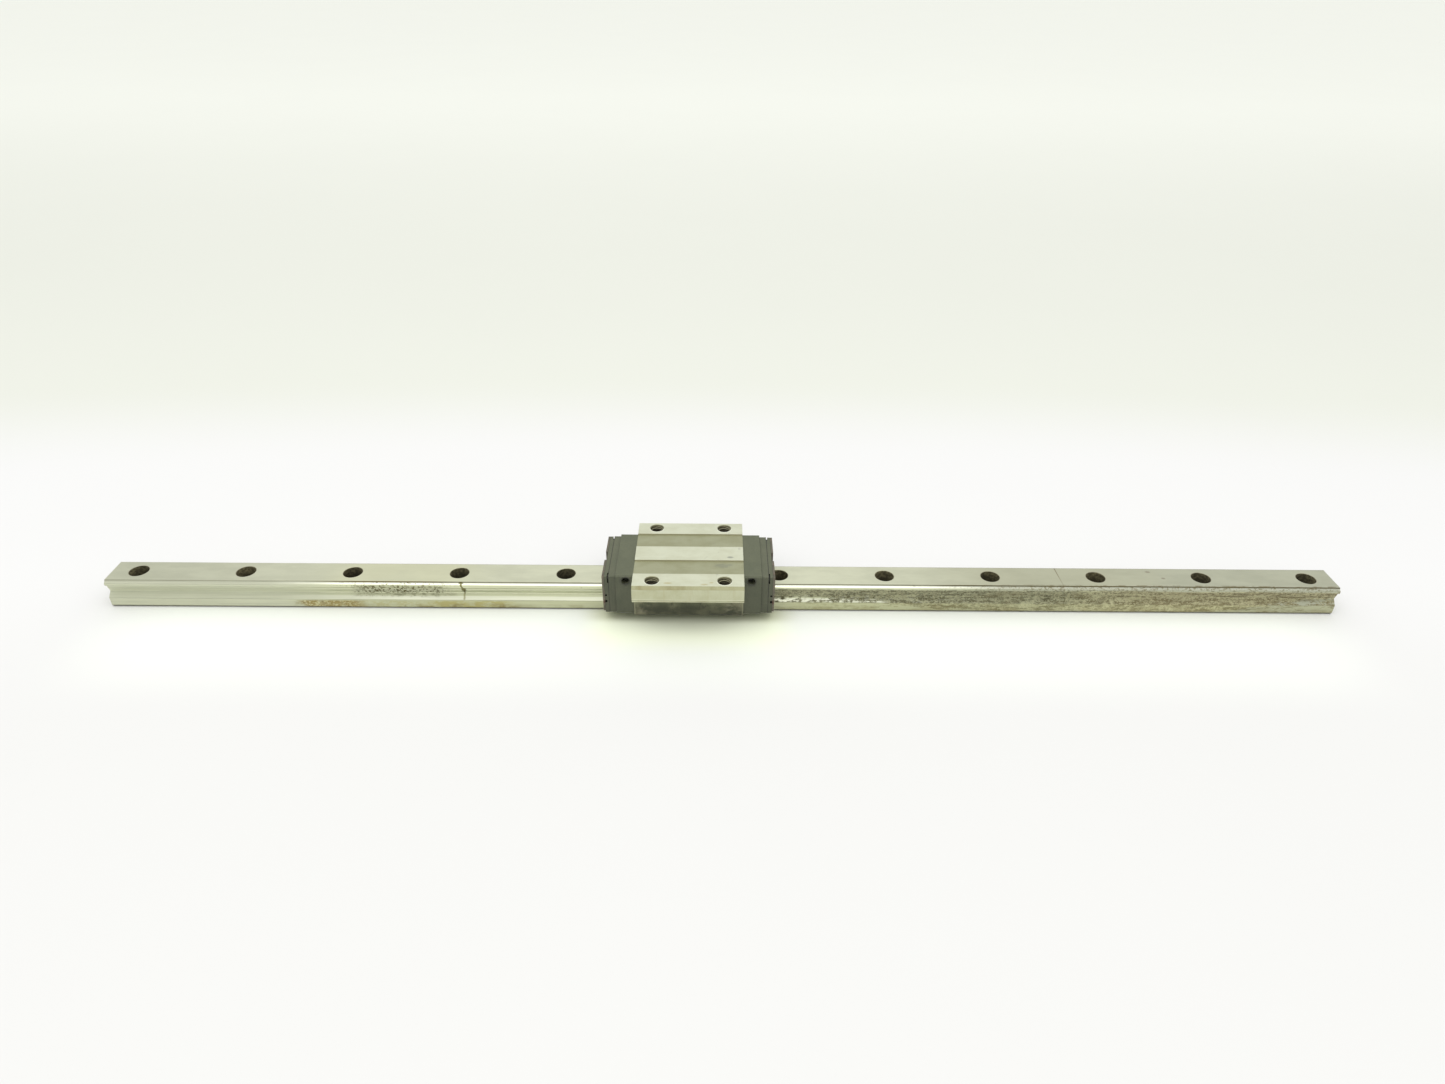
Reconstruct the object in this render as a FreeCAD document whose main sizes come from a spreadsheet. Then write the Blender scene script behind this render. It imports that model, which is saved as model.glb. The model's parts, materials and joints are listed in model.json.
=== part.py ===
import FreeCAD, Part
import math
import os
import Sketcher

# Profiled-rail linear guide: one ground steel rail with a flanged recirculating-ball
# carriage on it.  X runs along the rail, Z points up, and the origin is the middle of
# the rail's underside.  Front is -Y and back is +Y.  All lengths are in millimetres.

V = FreeCAD.Vector
doc = FreeCAD.newDocument("linear_guide")
sheet = doc.addObject("Spreadsheet::Sheet", "dims")

# ---------------------------------------------------------------- driving dimensions
# alias, value, note
CELLS = [
    # rail
    ("rail_length", 920.0, "whole rail"),
    ("rail_width", 28.0, "head and foot width"),
    ("rail_height", 23.0, "underside to ground top"),
    ("rail_waist_half", 10.45, "half width at the waist"),
    ("rail_waist_top", 12.6, "height where the relief starts"),
    ("rail_waist_low", 11.5, "height where the lower slope starts"),
    ("rail_foot_chamfer", 1.3, "bottom edge chamfer"),
    ("rail_end_chamfer", 0.4, "edge break at each rail end"),
    ("rail_pitch", 80.0, "bolt hole pitch"),
    ("rail_holes", 12, "bolt hole count"),
    ("rail_hole_dia", 9.0, "clearance for M8"),
    ("rail_cbore_dia", 14.0, "counterbore for the M8 head"),
    ("rail_cbore_depth", 12.0, "counterbore depth"),
    ("rail_hole_break", 0.25, "edge break at the counterbore mouth"),
    # raceways and balls
    ("race_offset", 14.7, "ball row distance from the centre plane"),
    ("race_high", 23.6, "height of the upper ball rows"),
    ("race_low", 16.0, "height of the lower ball rows"),
    ("race_radius", 2.9, "raceway arc radius"),
    ("ball_radius", 2.778, "7/32 inch ball"),
    ("ball_bore_radius", 3.1, "return path radius"),
    ("balls_per_circuit", 32, "balls in one closed circuit"),
    ("back_high_offset", 23.9, "upper return bore from the centre plane"),
    ("back_high", 27.5, "height of the upper return bore"),
    ("back_low_offset", 24.2, "lower return bore from the centre plane"),
    ("back_low", 13.0, "height of the lower return bore"),
    ("tube_radius", 3.5, "outside of the return tube"),
    ("tube_bore_radius", 3.55, "bore in the steel for the tube"),
    ("guide_gap", 0.1, "return guide to the edge of the ball path"),
    ("retainer_gap", 0.1, "retainer arcs outside the raceway radius"),
    # steel block
    ("carriage_rest_x", -27.0, "carriage centre at rest"),
    ("block_length", 80.0, "steel block"),
    ("block_width", 90.0, "across the flanges"),
    ("block_top", 42.0, "mounting face height above the rail underside"),
    ("block_bottom", 7.0, "block underside height"),
    ("body_width", 60.0, "width below the flanges"),
    ("body_chamfer", 0.7, "lower outer edge chamfer"),
    ("flange_bottom", 28.3, "flange underside height"),
    ("flange_chamfer", 2.0, "top edge chamfer"),
    ("flange_ground", 30.7, "lower edge of the ground side face"),
    ("flange_relief", 0.55, "relief below the ground side face"),
    ("flange_step", 0.45, "height of the slope into the relief"),
    ("flange_low_chamfer", 0.8, "bottom edge chamfer"),
    ("flange_fillet", 1.5, "radius under the flange"),
    ("recess_depth", 1.0, "grooves between the ground pads"),
    ("recess_inner", 9.25, "edge of the centre pad"),
    ("recess_outer", 27.45, "edge of the side pads"),
    ("recess_slope", 0.35, "width of each groove's sloping side"),
    ("channel_top", 28.25, "roof of the rail channel"),
    ("channel_half", 12.4, "half width of the channel roof"),
    ("bolt_pitch_x", 52.0, "mounting holes along the rail"),
    ("bolt_pitch_y", 72.0, "mounting holes across the rail"),
    ("bolt_dia", 10.0, "M10 thread, major diameter"),
    ("bolt_break", 0.45, "chamfer at the thread mouth"),
    # end stack: cap, inner seal, outer seal, scraper
    ("cap_length", 12.9, "end cap"),
    ("cap_half", 29.0, "end cap half width"),
    ("cap_top", 40.8, "end cap top"),
    ("cap_bottom", 7.5, "end cap underside"),
    ("cap_edge", 1.0, "end cap edge chamfer"),
    ("inner_length", 5.1, "inner seal frame"),
    ("inner_top", 39.65, "inner seal top"),
    ("inner_edge", 0.6, "inner seal edge chamfer"),
    ("outer_length", 3.2, "outer seal"),
    ("outer_top", 39.35, "outer seal top"),
    ("outer_edge", 0.5, "outer seal edge chamfer"),
    ("stack_half", 27.7, "seal and scraper half width"),
    ("stack_bottom", 7.6, "seal and scraper underside"),
    ("lip_thick", 1.5, "wiping lip"),
    ("lip_gap", 0.15, "wiping lip to rail"),
    ("plate_length", 1.5, "steel scraper"),
    ("plate_gap", 0.35, "scraper to rail"),
    ("frame_gap", 0.9, "cap and seal frames to rail"),
    ("nipple_height", 32.6, "end grease port height"),
    ("nipple_radius", 3.6, "hole through the seals"),
    ("port_radius", 2.5, "M6 tap drill"),
    ("port_break", 0.5, "chamfer at the port mouth"),
    ("port_start", 3.0, "end port from the steel face"),
    ("side_port_x", 5.5, "side port from the steel face"),
    ("side_port_z", 36.4, "side port height"),
    ("side_port_depth", 5.6, "side port depth"),
    ("plug_length", 6.0, "grease plug"),
    ("plug_sink", 0.5, "grease plug below the cap face"),
    ("plug_socket_corner", 1.732, "centre to corner of the plug socket"),
    ("plug_socket_depth", 3.0, "plug socket"),
    ("screw_high_offset", 20.0, "upper cap screws"),
    ("screw_high", 34.6, "height of the upper cap screws"),
    ("screw_low_offset", 23.2, "lower cap screws"),
    ("screw_low", 20.2, "height of the lower cap screws"),
    ("screw_radius", 2.0, "M4"),
    ("screw_length", 30.0, "cap screw"),
    ("screw_head_radius", 3.7, "flat head"),
    ("screw_sink", 0.1, "screw head below the scraper face"),
    ("screw_point", 0.5, "chamfer at the screw's end"),
    ("screw_socket", 2.5, "hexagon socket across flats"),
    ("screw_socket_depth", 1.4, "hexagon socket"),
    ("screw_tap_depth", 10.0, "tapped hole in the block"),
    ("screw_tap_gap", 0.05, "tapped hole radius over the screw's"),
    ("screw_gap", 0.25, "cap and inner seal hole radius over the screw's"),
    ("screw_gap_outer", 0.45, "outer seal hole radius over the screw's"),
    ("sink_small", 2.35, "small radius of the scraper countersink"),
    ("sink_large", 3.85, "large radius of the scraper countersink"),
]
VALUES = {}
for line, (alias, value, note) in enumerate(CELLS, start=1):
    sheet.set("A%d" % line, alias.replace("_", " "))
    sheet.set("B%d" % line, repr(value))
    sheet.setAlias("B%d" % line, alias)
    sheet.set("C%d" % line, note)
    VALUES[alias] = float(value)
doc.recompute()


class Length:
    """A length that knows both its number and the spreadsheet formula behind it."""

    def __init__(self, value, formula):
        self.value, self.formula = float(value), formula

    @staticmethod
    def of(x):
        return x if isinstance(x, Length) else Length(x, repr(round(float(x), 6)))

    def __add__(self, other):
        other = Length.of(other)
        return Length(self.value + other.value, "(%s + %s)" % (self.formula, other.formula))

    def __radd__(self, other):
        return Length.of(other) + self

    def __sub__(self, other):
        other = Length.of(other)
        return Length(self.value - other.value, "(%s - (%s))" % (self.formula, other.formula))

    def __rsub__(self, other):
        return Length.of(other) - self

    def __mul__(self, other):
        other = Length.of(other)
        return Length(self.value * other.value, "(%s * %s)" % (self.formula, other.formula))

    __rmul__ = __mul__

    def __truediv__(self, other):
        other = Length.of(other)
        return Length(self.value / other.value, "(%s / %s)" % (self.formula, other.formula))

    def __neg__(self):
        return Length(-self.value, "(-1 * %s)" % self.formula)


class Dimensions:
    """Each spreadsheet alias, read as a Length."""

    def __getattr__(self, alias):
        return Length(VALUES[alias], "dims." + alias)


dim = Dimensions()
PAST = 1.0  # how far a cutting profile reaches past the face it opens
HEX_CORNER = 1.154701  # hexagon: centre to corner over centre to flat
SIDES = (("front", -1), ("back", 1))


def root(length):
    return Length(math.sqrt(length.value), "sqrt(%s)" % length.formula)


def bind(thing, name, length):
    """Set a property and tie it to its formula."""
    length = Length.of(length)
    setattr(thing, name, length.value)
    thing.setExpression(name, length.formula)


# ---------------------------------------------------------------- outlines
# An outline is a closed list of points (x, y) and, between two points, arcs
# ("arc", centre x, centre y, "ccw" or "cw").
def on_circle(x, y, radius, degrees):
    angle = math.radians(degrees)
    return (x + radius * round(math.cos(angle), 6), y + radius * round(math.sin(angle), 6))


def hexagon(x, y, corner):
    return [on_circle(x, y, corner, 60 * k) for k in range(6)]


def other_way(way):
    return "cw" if way == "ccw" else "ccw"


def walked_back(outline):
    """The same outline walked the other way, so its arcs turn the other way."""
    return [
        ("arc", item[1], item[2], other_way(item[3])) if item[0] == "arc" else item
        for item in reversed(outline)
    ]


def to_side(outline, s):
    """An outline given on the +Y side, kept there (s = 1) or mirrored to -Y (s = -1)."""
    moved = []
    for item in outline:
        if item[0] == "arc":
            way = item[3] if s > 0 else other_way(item[3])
            moved.append(("arc", Length.of(item[1]) * s, item[2], way))
        else:
            moved.append((Length.of(item[0]) * s, item[1]))
    return moved


def with_mirror(half):
    """The outline through half, given on the +Y side, and its mirror image."""
    return half + walked_back(to_side(half, -1))


# ---------------------------------------------------------------- bodies and sketches
def new_body(label):
    body = doc.addObject("PartDesign::Body", label)
    body.Label = label
    return body


def carriage_body(label, end="right"):
    """A body at the carriage's rest position, turned round for the left end."""
    body = new_body(label)
    body.Placement = FreeCAD.Placement(
        V(VALUES["carriage_rest_x"], 0, 0),
        FreeCAD.Rotation(V(0, 0, 1), 180 if end == "left" else 0),
    )
    body.setExpression("Placement.Base.x", "dims.carriage_rest_x")
    return body


def origin_feature(body, role):
    return [o for o in body.Origin.OriginFeatures if o.Role == role][0]


def new_sketch(body, role, offset=None):
    sketch = body.newObject("Sketcher::SketchObject", body.Name + "_sk")
    sketch.AttachmentSupport = [(origin_feature(body, role), "")]
    sketch.MapMode = "FlatFace"
    if offset is not None:
        offset = Length.of(offset)
        sketch.AttachmentOffset = FreeCAD.Placement(V(0, 0, offset.value), FreeCAD.Rotation())
        sketch.setExpression("AttachmentOffset.Base.z", offset.formula)
    return sketch


def pin(sketch, geometry, point, x=None, y=None):
    """Fix one point of the geometry at a formula-driven place."""
    for kind, axis, place in (("DistanceX", -2, x), ("DistanceY", -1, y)):
        if place is None:
            continue
        place = Length.of(place)
        if abs(place.value) < 1e-9:
            sketch.addConstraint(Sketcher.Constraint("PointOnObject", geometry, point, axis))
            continue
        if place.value > 0:
            ends = (-1, 1, geometry, point)
        else:
            ends = (geometry, point, -1, 1)
            place = -place
        index = sketch.addConstraint(Sketcher.Constraint(kind, *ends, place.value))
        sketch.setExpression("Constraints[%d]" % index, place.formula)


def draw_outline(sketch, items):
    points, arcs = [], {}  # arcs: index of the point each one starts from -> its centre and way
    for item in items:
        if item[0] == "arc":
            arcs[len(points) - 1] = (Length.of(item[1]), Length.of(item[2]), item[3])
        else:
            points.append((Length.of(item[0]), Length.of(item[1])))
    count, first = len(points), sketch.GeometryCount
    geometry, ends = [], []  # ends: which end of each piece comes first and last in the walk
    for i in range(count):
        (ax, ay), (bx, by) = points[i], points[(i + 1) % count]
        if i in arcs:
            cx, cy, way = arcs[i]
            radius = math.hypot(ax.value - cx.value, ay.value - cy.value)
            start = math.atan2(ay.value - cy.value, ax.value - cx.value)
            stop = math.atan2(by.value - cy.value, bx.value - cx.value)
            low, high = (start, stop) if way == "ccw" else (stop, start)
            while high < low:
                high += 2 * math.pi
            full = Part.Circle(V(cx.value, cy.value, 0), V(0, 0, 1), radius)
            geometry.append(Part.ArcOfCircle(full, low, high))
            ends.append((1, 2) if way == "ccw" else (2, 1))
        else:
            geometry.append(
                Part.LineSegment(V(ax.value, ay.value, 0), V(bx.value, by.value, 0))
            )
            ends.append((1, 2))
    sketch.addGeometry(geometry, False)
    joints = []
    for i in range(count):
        after = (i + 1) % count
        joints.append(Sketcher.Constraint(
            "Coincident", first + i, ends[i][1], first + after, ends[after][0]))
    sketch.addConstraint(joints)
    for i, (x, y) in enumerate(points):
        before = (i - 1) % count
        if i in arcs:
            pin(sketch, first + i, 3, *arcs[i][:2])
        if before in arcs:
            # this point already lies on the arc's circle, so one coordinate holds it
            cx, cy, _ = arcs[before]
            if abs(y.value - cy.value) > abs(x.value - cx.value):
                y = None
            else:
                x = None
        pin(sketch, first + i, ends[i][0], x, y)


def outline_sketch(body, role, *outlines, offset=None, axis=None):
    """Closed outlines and, for a revolved feature, the axis through two points."""
    sketch = new_sketch(body, role, offset)
    for outline in outlines:
        draw_outline(sketch, outline)
    if axis is not None:
        (ax, ay), (bx, by) = [(Length.of(x), Length.of(y)) for x, y in axis]
        line = Part.LineSegment(V(ax.value, ay.value, 0), V(bx.value, by.value, 0))
        index = sketch.addGeometry(line, True)
        pin(sketch, index, 1, ax, ay)
        pin(sketch, index, 2, bx, by)
    return sketch


def circle_sketch(body, circles, offset=None):
    """Circles (y, z, radius) across the rail."""
    sketch = new_sketch(body, "YZ_Plane", offset)
    for circle in circles:
        y, z, radius = [Length.of(part) for part in circle]
        shape = Part.Circle(V(y.value, z.value, 0), V(0, 0, 1), radius.value)
        index = sketch.addGeometry(shape, False)
        size = sketch.addConstraint(Sketcher.Constraint("Radius", index, radius.value))
        sketch.setExpression("Constraints[%d]" % size, radius.formula)
        pin(sketch, index, 3, y, z)
    return sketch


# ---------------------------------------------------------------- features
def add_feature(body, kind, sketch):
    feature = body.newObject("PartDesign::" + kind, body.Name + "_" + kind.lower())
    feature.Profile = sketch
    body.Tip = feature
    return feature


def extrude(body, kind, sketch, length, symmetric):
    feature = add_feature(body, kind, sketch)
    feature.SideType = "Symmetric" if symmetric else "One side"
    bind(feature, "Length", length)
    return feature


def pad(body, sketch, length, symmetric=False):
    extrude(body, "Pad", sketch, length, symmetric)


def volume_now(body):
    doc.recompute()
    return body.Shape.Volume


def pocket(body, sketch, length, symmetric=False, reverse=False):
    """A cut against the sketch's normal, or along it when reversed."""
    before = volume_now(body)
    extrude(body, "Pocket", sketch, length, symmetric).Reversed = reverse
    assert volume_now(body) < before - 1, "pocket in %s cuts nothing" % body.Label


def turn(body, kind, sketch, angle=360.0, reverse=False):
    """A Revolution or Groove about the sketch's construction line."""
    feature = add_feature(body, kind, sketch)
    feature.ReferenceAxis = (sketch, ["Axis0"])
    feature.Angle = angle
    feature.Reversed = reverse
    return feature


def groove(body, sketch, angle=360.0, reverse=False):
    before = volume_now(body)
    feature = turn(body, "Groove", sketch, angle, reverse)
    assert volume_now(body) < before - 1, "groove in %s cuts nothing" % body.Label
    return feature


def row_along_x(body, feature, length, count):
    """The feature repeated along the body's own X axis."""
    pattern = body.newObject("PartDesign::LinearPattern", body.Name + "_row")
    pattern.Originals = [feature]
    pattern.Direction = (origin_feature(body, "X_Axis"), [""])
    bind(pattern, "Length", length)
    pattern.Occurrences = count
    body.Tip = pattern
    return pattern


def group(label, items):
    compound = doc.addObject("Part::Compound", label)
    compound.Label = label
    compound.Links = items
    return compound


# ---------------------------------------------------------------- shared places
race_y, race_high, race_low = dim.race_offset, dim.race_high, dim.race_low
race_radius = dim.race_radius
rail_half = dim.rail_width / 2
bottom = dim.block_bottom

# X of the faces in the end stack, from the carriage centre outwards
cap_start = dim.block_length / 2
inner_start = cap_start + dim.cap_length
outer_start = inner_start + dim.inner_length
plate_start = outer_start + dim.outer_length
plate_end = plate_start + dim.plate_length

SCREWS = [
    (s * offset, height)
    for s in (1, -1)
    for offset, height in (
        (dim.screw_high_offset, dim.screw_high),
        (dim.screw_low_offset, dim.screw_low),
    )
]

# name, loaded row y and z, return row y and z
CIRCUITS = []
for where, s in SIDES:
    CIRCUITS += [
        (where + "_upper", s * race_y, race_high, s * dim.back_high_offset, dim.back_high),
        (where + "_lower", s * race_y, race_low, s * dim.back_low_offset, dim.back_low),
    ]


def rail_side(gap, foot):
    """The rail's +Y outline from the flat top down to height foot, grown by gap."""
    gap = Length.of(gap)
    radius = race_radius - gap
    top = dim.rail_height + gap
    half = rail_half + gap
    top_half = race_y - root(radius * radius - (race_high - top) * (race_high - top))
    across = race_y - half
    rise = root(radius * radius - across * across)
    waist = dim.rail_waist_half + gap
    slope_shift = gap * 0.414214  # tan(22.5 deg): keeps the 45 degree slope at the gap
    return [
        (top_half, top),
        ("arc", race_y, race_high, "ccw"),
        (half, race_high - rise),
        (half, race_low + rise),
        ("arc", race_y, race_low, "ccw"),
        (race_y - radius, race_low),
        (waist, dim.rail_waist_top),
        (waist, dim.rail_waist_low + slope_shift),
        (half, dim.rail_waist_low - (rail_half - dim.rail_waist_half) + slope_shift),
        (half, foot),
    ]


# ---------------------------------------------------------------- rail
def build_rail():
    body = new_body("rail")
    chamfer = dim.rail_foot_chamfer
    section = with_mirror(rail_side(0, chamfer) + [(rail_half - chamfer, 0)])
    pad(body, outline_sketch(body, "YZ_Plane", section), dim.rail_length, symmetric=True)

    # counterbored bolt holes, from the -X end
    run = dim.rail_pitch * (dim.rail_holes - 1)
    x = -(run / 2)
    hole, cbore = dim.rail_hole_dia / 2, dim.rail_cbore_dia / 2
    top, mouth = dim.rail_height, dim.rail_hole_break
    profile = [
        (x, -PAST),
        (x + hole, -PAST),
        (x + hole, top - dim.rail_cbore_depth),
        (x + cbore, top - dim.rail_cbore_depth),
        (x + cbore, top - mouth),
        (x + cbore + mouth + PAST, top + PAST),
        (x, top + PAST),
    ]
    axis = [(x, -PAST), (x, top + PAST)]
    bolt_hole = groove(body, outline_sketch(body, "XZ_Plane", profile, axis=axis))
    holes = row_along_x(body, bolt_hole, run, int(dim.rail_holes.value))
    holes.setExpression("Occurrences", dim.rail_holes.formula)
    doc.recompute()

    # edge break round both end faces
    names = []
    for i, edge in enumerate(holes.Shape.Edges, start=1):
        box = edge.BoundBox
        if box.XLength < 1e-6 and abs(abs(box.XMin) - VALUES["rail_length"] / 2) < 1e-6:
            names.append("Edge%d" % i)
    chamfers = body.newObject("PartDesign::Chamfer", "rail_ends")
    chamfers.Base = (holes, names)
    bind(chamfers, "Size", dim.rail_end_chamfer)
    body.Tip = chamfers
    return body


# ---------------------------------------------------------------- steel block
def block_section():
    """The block's +Y outline, from the centre pad round to the channel roof."""
    top, under = dim.block_top, dim.flange_bottom
    half, body_half = dim.block_width / 2, dim.body_width / 2
    relieved = half - dim.flange_relief
    low_chamfer, fillet = dim.flange_low_chamfer, dim.flange_fillet
    race_edge = on_circle(race_y, race_low, race_radius, 260)
    return [
        # mounting face and the groove between its pads
        (dim.recess_inner, top),
        (dim.recess_inner + dim.recess_slope, top - dim.recess_depth),
        (dim.recess_outer - dim.recess_slope, top - dim.recess_depth),
        (dim.recess_outer, top),
        # flange
        (half - dim.flange_chamfer, top),
        (half, top - dim.flange_chamfer),
        (half, dim.flange_ground),
        (relieved, dim.flange_ground - dim.flange_step),
        (relieved, under + low_chamfer),
        (relieved - low_chamfer, under),
        (body_half + fillet, under),
        ("arc", body_half + fillet, under - fillet, "ccw"),
        (body_half, under - fillet),
        # leg, with the step that takes the side seal
        (body_half, bottom + dim.body_chamfer),
        (body_half - dim.body_chamfer, bottom),
        (19.5, bottom),
        (19.5, bottom + 2.2),
        (15.5, bottom + 2.2),
        (14.9, bottom + 2.7),
        (race_edge[0], bottom + 3.6),
        # raceways
        race_edge,
        ("arc", race_y, race_low, "ccw"),
        on_circle(race_y, race_low, race_radius, 10),
        on_circle(race_y, race_high, race_radius, -10),
        ("arc", race_y, race_high, "ccw"),
        on_circle(race_y, race_high, race_radius, 100),
        (dim.channel_half, dim.channel_top),
    ]


def mounting_holes(body):
    """Four threaded holes, chamfered at both mouths."""
    x = -dim.bolt_pitch_x / 2
    radius, mouth = dim.bolt_dia / 2, dim.bolt_break
    low, high = dim.flange_bottom, dim.block_top
    profile = [
        (x, low - PAST),
        (x + radius + mouth + PAST, low - PAST),
        (x + radius, low + mouth),
        (x + radius, high - mouth),
        (x + radius + mouth + PAST, high + PAST),
        (x, high + PAST),
    ]
    axis = [(x, low - PAST), (x, high + PAST)]
    # the XZ plane faces -Y, so this first hole is in the front flange
    sketch = outline_sketch(
        body, "XZ_Plane", profile, offset=dim.bolt_pitch_y / 2, axis=axis)
    before = volume_now(body)
    hole = groove(body, sketch)
    one_hole = before - body.Shape.Volume
    pattern = row_along_x(body, hole, dim.bolt_pitch_x, 2)
    pattern.Direction2 = (origin_feature(body, "Y_Axis"), [""])
    bind(pattern, "Length2", dim.bolt_pitch_y)
    pattern.Occurrences2 = 2
    cut = before - volume_now(body)
    assert abs(cut - 4 * one_hole) < 1, "the pattern must hold four holes"


def build_block():
    body = carriage_body("carriage_block")
    sketch = outline_sketch(body, "YZ_Plane", with_mirror(block_section()))
    pad(body, sketch, dim.block_length, symmetric=True)
    bores = [(y, z, dim.tube_bore_radius) for _, _, _, y, z in CIRCUITS]
    pocket(body, circle_sketch(body, bores), dim.block_length + 2 * PAST, symmetric=True)
    # tapped holes for the cap screws, in both end faces
    taps = [(y, z, dim.screw_radius + dim.screw_tap_gap) for y, z in SCREWS]
    for end in (1, -1):
        sketch = circle_sketch(body, taps, offset=end * cap_start)
        pocket(body, sketch, dim.screw_tap_depth, reverse=(end < 0))
    mounting_holes(body)
    return body


# ---------------------------------------------------------------- ball circuits
def turnaround(circuit):
    """Radius of a circuit's half turn, and a function that places points about it."""
    _, loaded_y, loaded_z, return_y, return_z = circuit
    dy, dz = return_y - loaded_y, return_z - loaded_z
    span = root(dy * dy + dz * dz)
    unit_y, unit_z = dy / span, dz / span
    middle_y, middle_z = (loaded_y + return_y) / 2, (loaded_z + return_z) / 2

    def at(along, across):
        """along the loaded-to-return line from its middle, and across it."""
        return (
            middle_y + unit_y * along - unit_z * across,
            middle_z + unit_z * along + unit_y * across,
        )

    return span / 2, at


def circuit_place(travel, radius):
    """X from the carriage centre, and the share of the way to the return row."""
    length = VALUES["block_length"]
    arc = math.pi * radius
    if travel < length:
        return -length / 2 + travel, 0.0
    if travel < length + arc:
        angle = (travel - length) / radius
        return length / 2 + radius * math.sin(angle), (1 - math.cos(angle)) / 2
    if travel < 2 * length + arc:
        return length / 2 - (travel - length - arc), 1.0
    angle = (travel - 2 * length - arc) / radius
    return -length / 2 - radius * math.sin(angle), (1 + math.cos(angle)) / 2


def build_balls(circuit):
    first_ball = 0.35  # place of the first ball, in ball spacings
    name, loaded_y, loaded_z, return_y, return_z = circuit
    radius = turnaround(circuit)[0].value
    total = 2 * VALUES["block_length"] + 2 * math.pi * radius
    count = int(VALUES["balls_per_circuit"])
    balls = []
    for i in range(count):
        x, share = circuit_place((i + first_ball) * total / count, radius)
        y = loaded_y + share * (return_y - loaded_y)
        z = loaded_z + share * (return_z - loaded_z)
        ball = doc.addObject("Part::Sphere", "ball_%s_%02d" % (name, i + 1))
        bind(ball, "Radius", dim.ball_radius)
        centre = V(x + VALUES["carriage_rest_x"], y.value, z.value)
        ball.Placement = FreeCAD.Placement(centre, FreeCAD.Rotation())
        balls.append(ball)
    return group("balls_" + name, balls)


def build_tubes(where):
    """The two return tubes through the block on one side."""
    tubes = []
    for name, _, _, y, z in CIRCUITS:
        if name.startswith(where):
            tube = carriage_body("tube_" + name)
            rings = [(y, z, dim.tube_radius), (y, z, dim.ball_bore_radius)]
            pad(tube, circle_sketch(tube, rings), dim.block_length, symmetric=True)
            tubes.append(tube)
    return group("return_tubes_" + where, tubes)


# ---------------------------------------------------------------- retainers and side seals
retainer_radius = race_radius + dim.retainer_gap  # concentric with the balls
retainer_length = dim.block_length - 0.1
side_seal_length = dim.block_length - 0.2


def build_bar(label, section, length):
    body = carriage_body(label)
    pad(body, outline_sketch(body, "YZ_Plane", section), length, symmetric=True)
    return body


def retainer_top_section():
    """+Y half of the bridge under the channel roof."""
    return [
        (9.8, race_high + 1.2),
        (10.6, race_high - 0.15),
        (race_y - 3.1, race_high - 0.15),
        on_circle(race_y, race_high, retainer_radius, 178),
        ("arc", race_y, race_high, "cw"),
        on_circle(race_y, race_high, retainer_radius, 105),
        (12.3, dim.channel_top - 0.1),
    ]


def retainer_middle_section():
    """Strip between the upper and lower ball rows, just clear of the steel."""
    wall = race_y + race_radius * 0.984808 - 0.1  # cos(10 deg), the raceway edges
    across = wall - race_y
    rise = root(retainer_radius * retainer_radius - across * across)
    return [
        on_circle(race_y, race_high, retainer_radius, 265),
        ("arc", race_y, race_high, "ccw"),
        (wall, race_high - rise),
        (wall, race_low + rise),
        ("arc", race_y, race_low, "ccw"),
        on_circle(race_y, race_low, retainer_radius, 95),
    ]


def retainer_lower_section():
    """Strip below the lower ball row, beside the rail's waist."""
    return [
        on_circle(race_y, race_low, retainer_radius, 210),
        ("arc", race_y, race_low, "ccw"),
        on_circle(race_y, race_low, retainer_radius, 255),
        (14.08, race_low - 3.4),
        (14.08, race_low - 5.0),
        (12.4, race_low - 5.0),
        (11.75, race_low - 4.2),
        (11.75, race_low - 2.6),
    ]


def side_seal_section():
    """Long seal under a block leg, its lip against the rail foot."""
    lip = rail_half + dim.lip_gap
    return [
        (lip, bottom + 0.35),
        (15.5, bottom + 0.05),
        (19.4, bottom + 0.05),
        (19.4, bottom + 2.1),
        (15.9, bottom + 2.1),
        (15.3, bottom + 1.6),
        (lip, bottom + 0.75),
    ]


def build_bars():
    top = with_mirror(retainer_top_section())
    bars = [build_bar("retainer_top", top, retainer_length)]
    for label, section, length in (
        ("retainer_middle_", retainer_middle_section(), retainer_length),
        ("retainer_lower_", retainer_lower_section(), retainer_length),
        ("side_seal_", side_seal_section(), side_seal_length),
    ):
        for where, s in SIDES:
            bars.append(build_bar(label + where, to_side(section, s), length))
    return bars


# ---------------------------------------------------------------- end pieces
# Each is drawn for the right end (+X); the left one is the same piece turned half
# round Z, so the front and back in its circuits' names swap.
def u_plate(body, start, length, half, top, low, edge, gap):
    """A plate astride the rail, chamfered at its outer corners."""
    section = [
        (half - edge, top),
        (half, top - edge),
        (half, low + edge),
        (half - edge, low),
    ] + walked_back(rail_side(gap, low))
    pad(body, outline_sketch(body, "YZ_Plane", with_mirror(section), offset=start), length)


def drill(body, start, length, holes):
    """Round holes (y, z, radius) outwards along X from start."""
    pocket(body, circle_sketch(body, holes, offset=start), length, reverse=True)


def screw_holes(gap):
    return [(y, z, dim.screw_radius + gap) for y, z in SCREWS]


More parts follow.
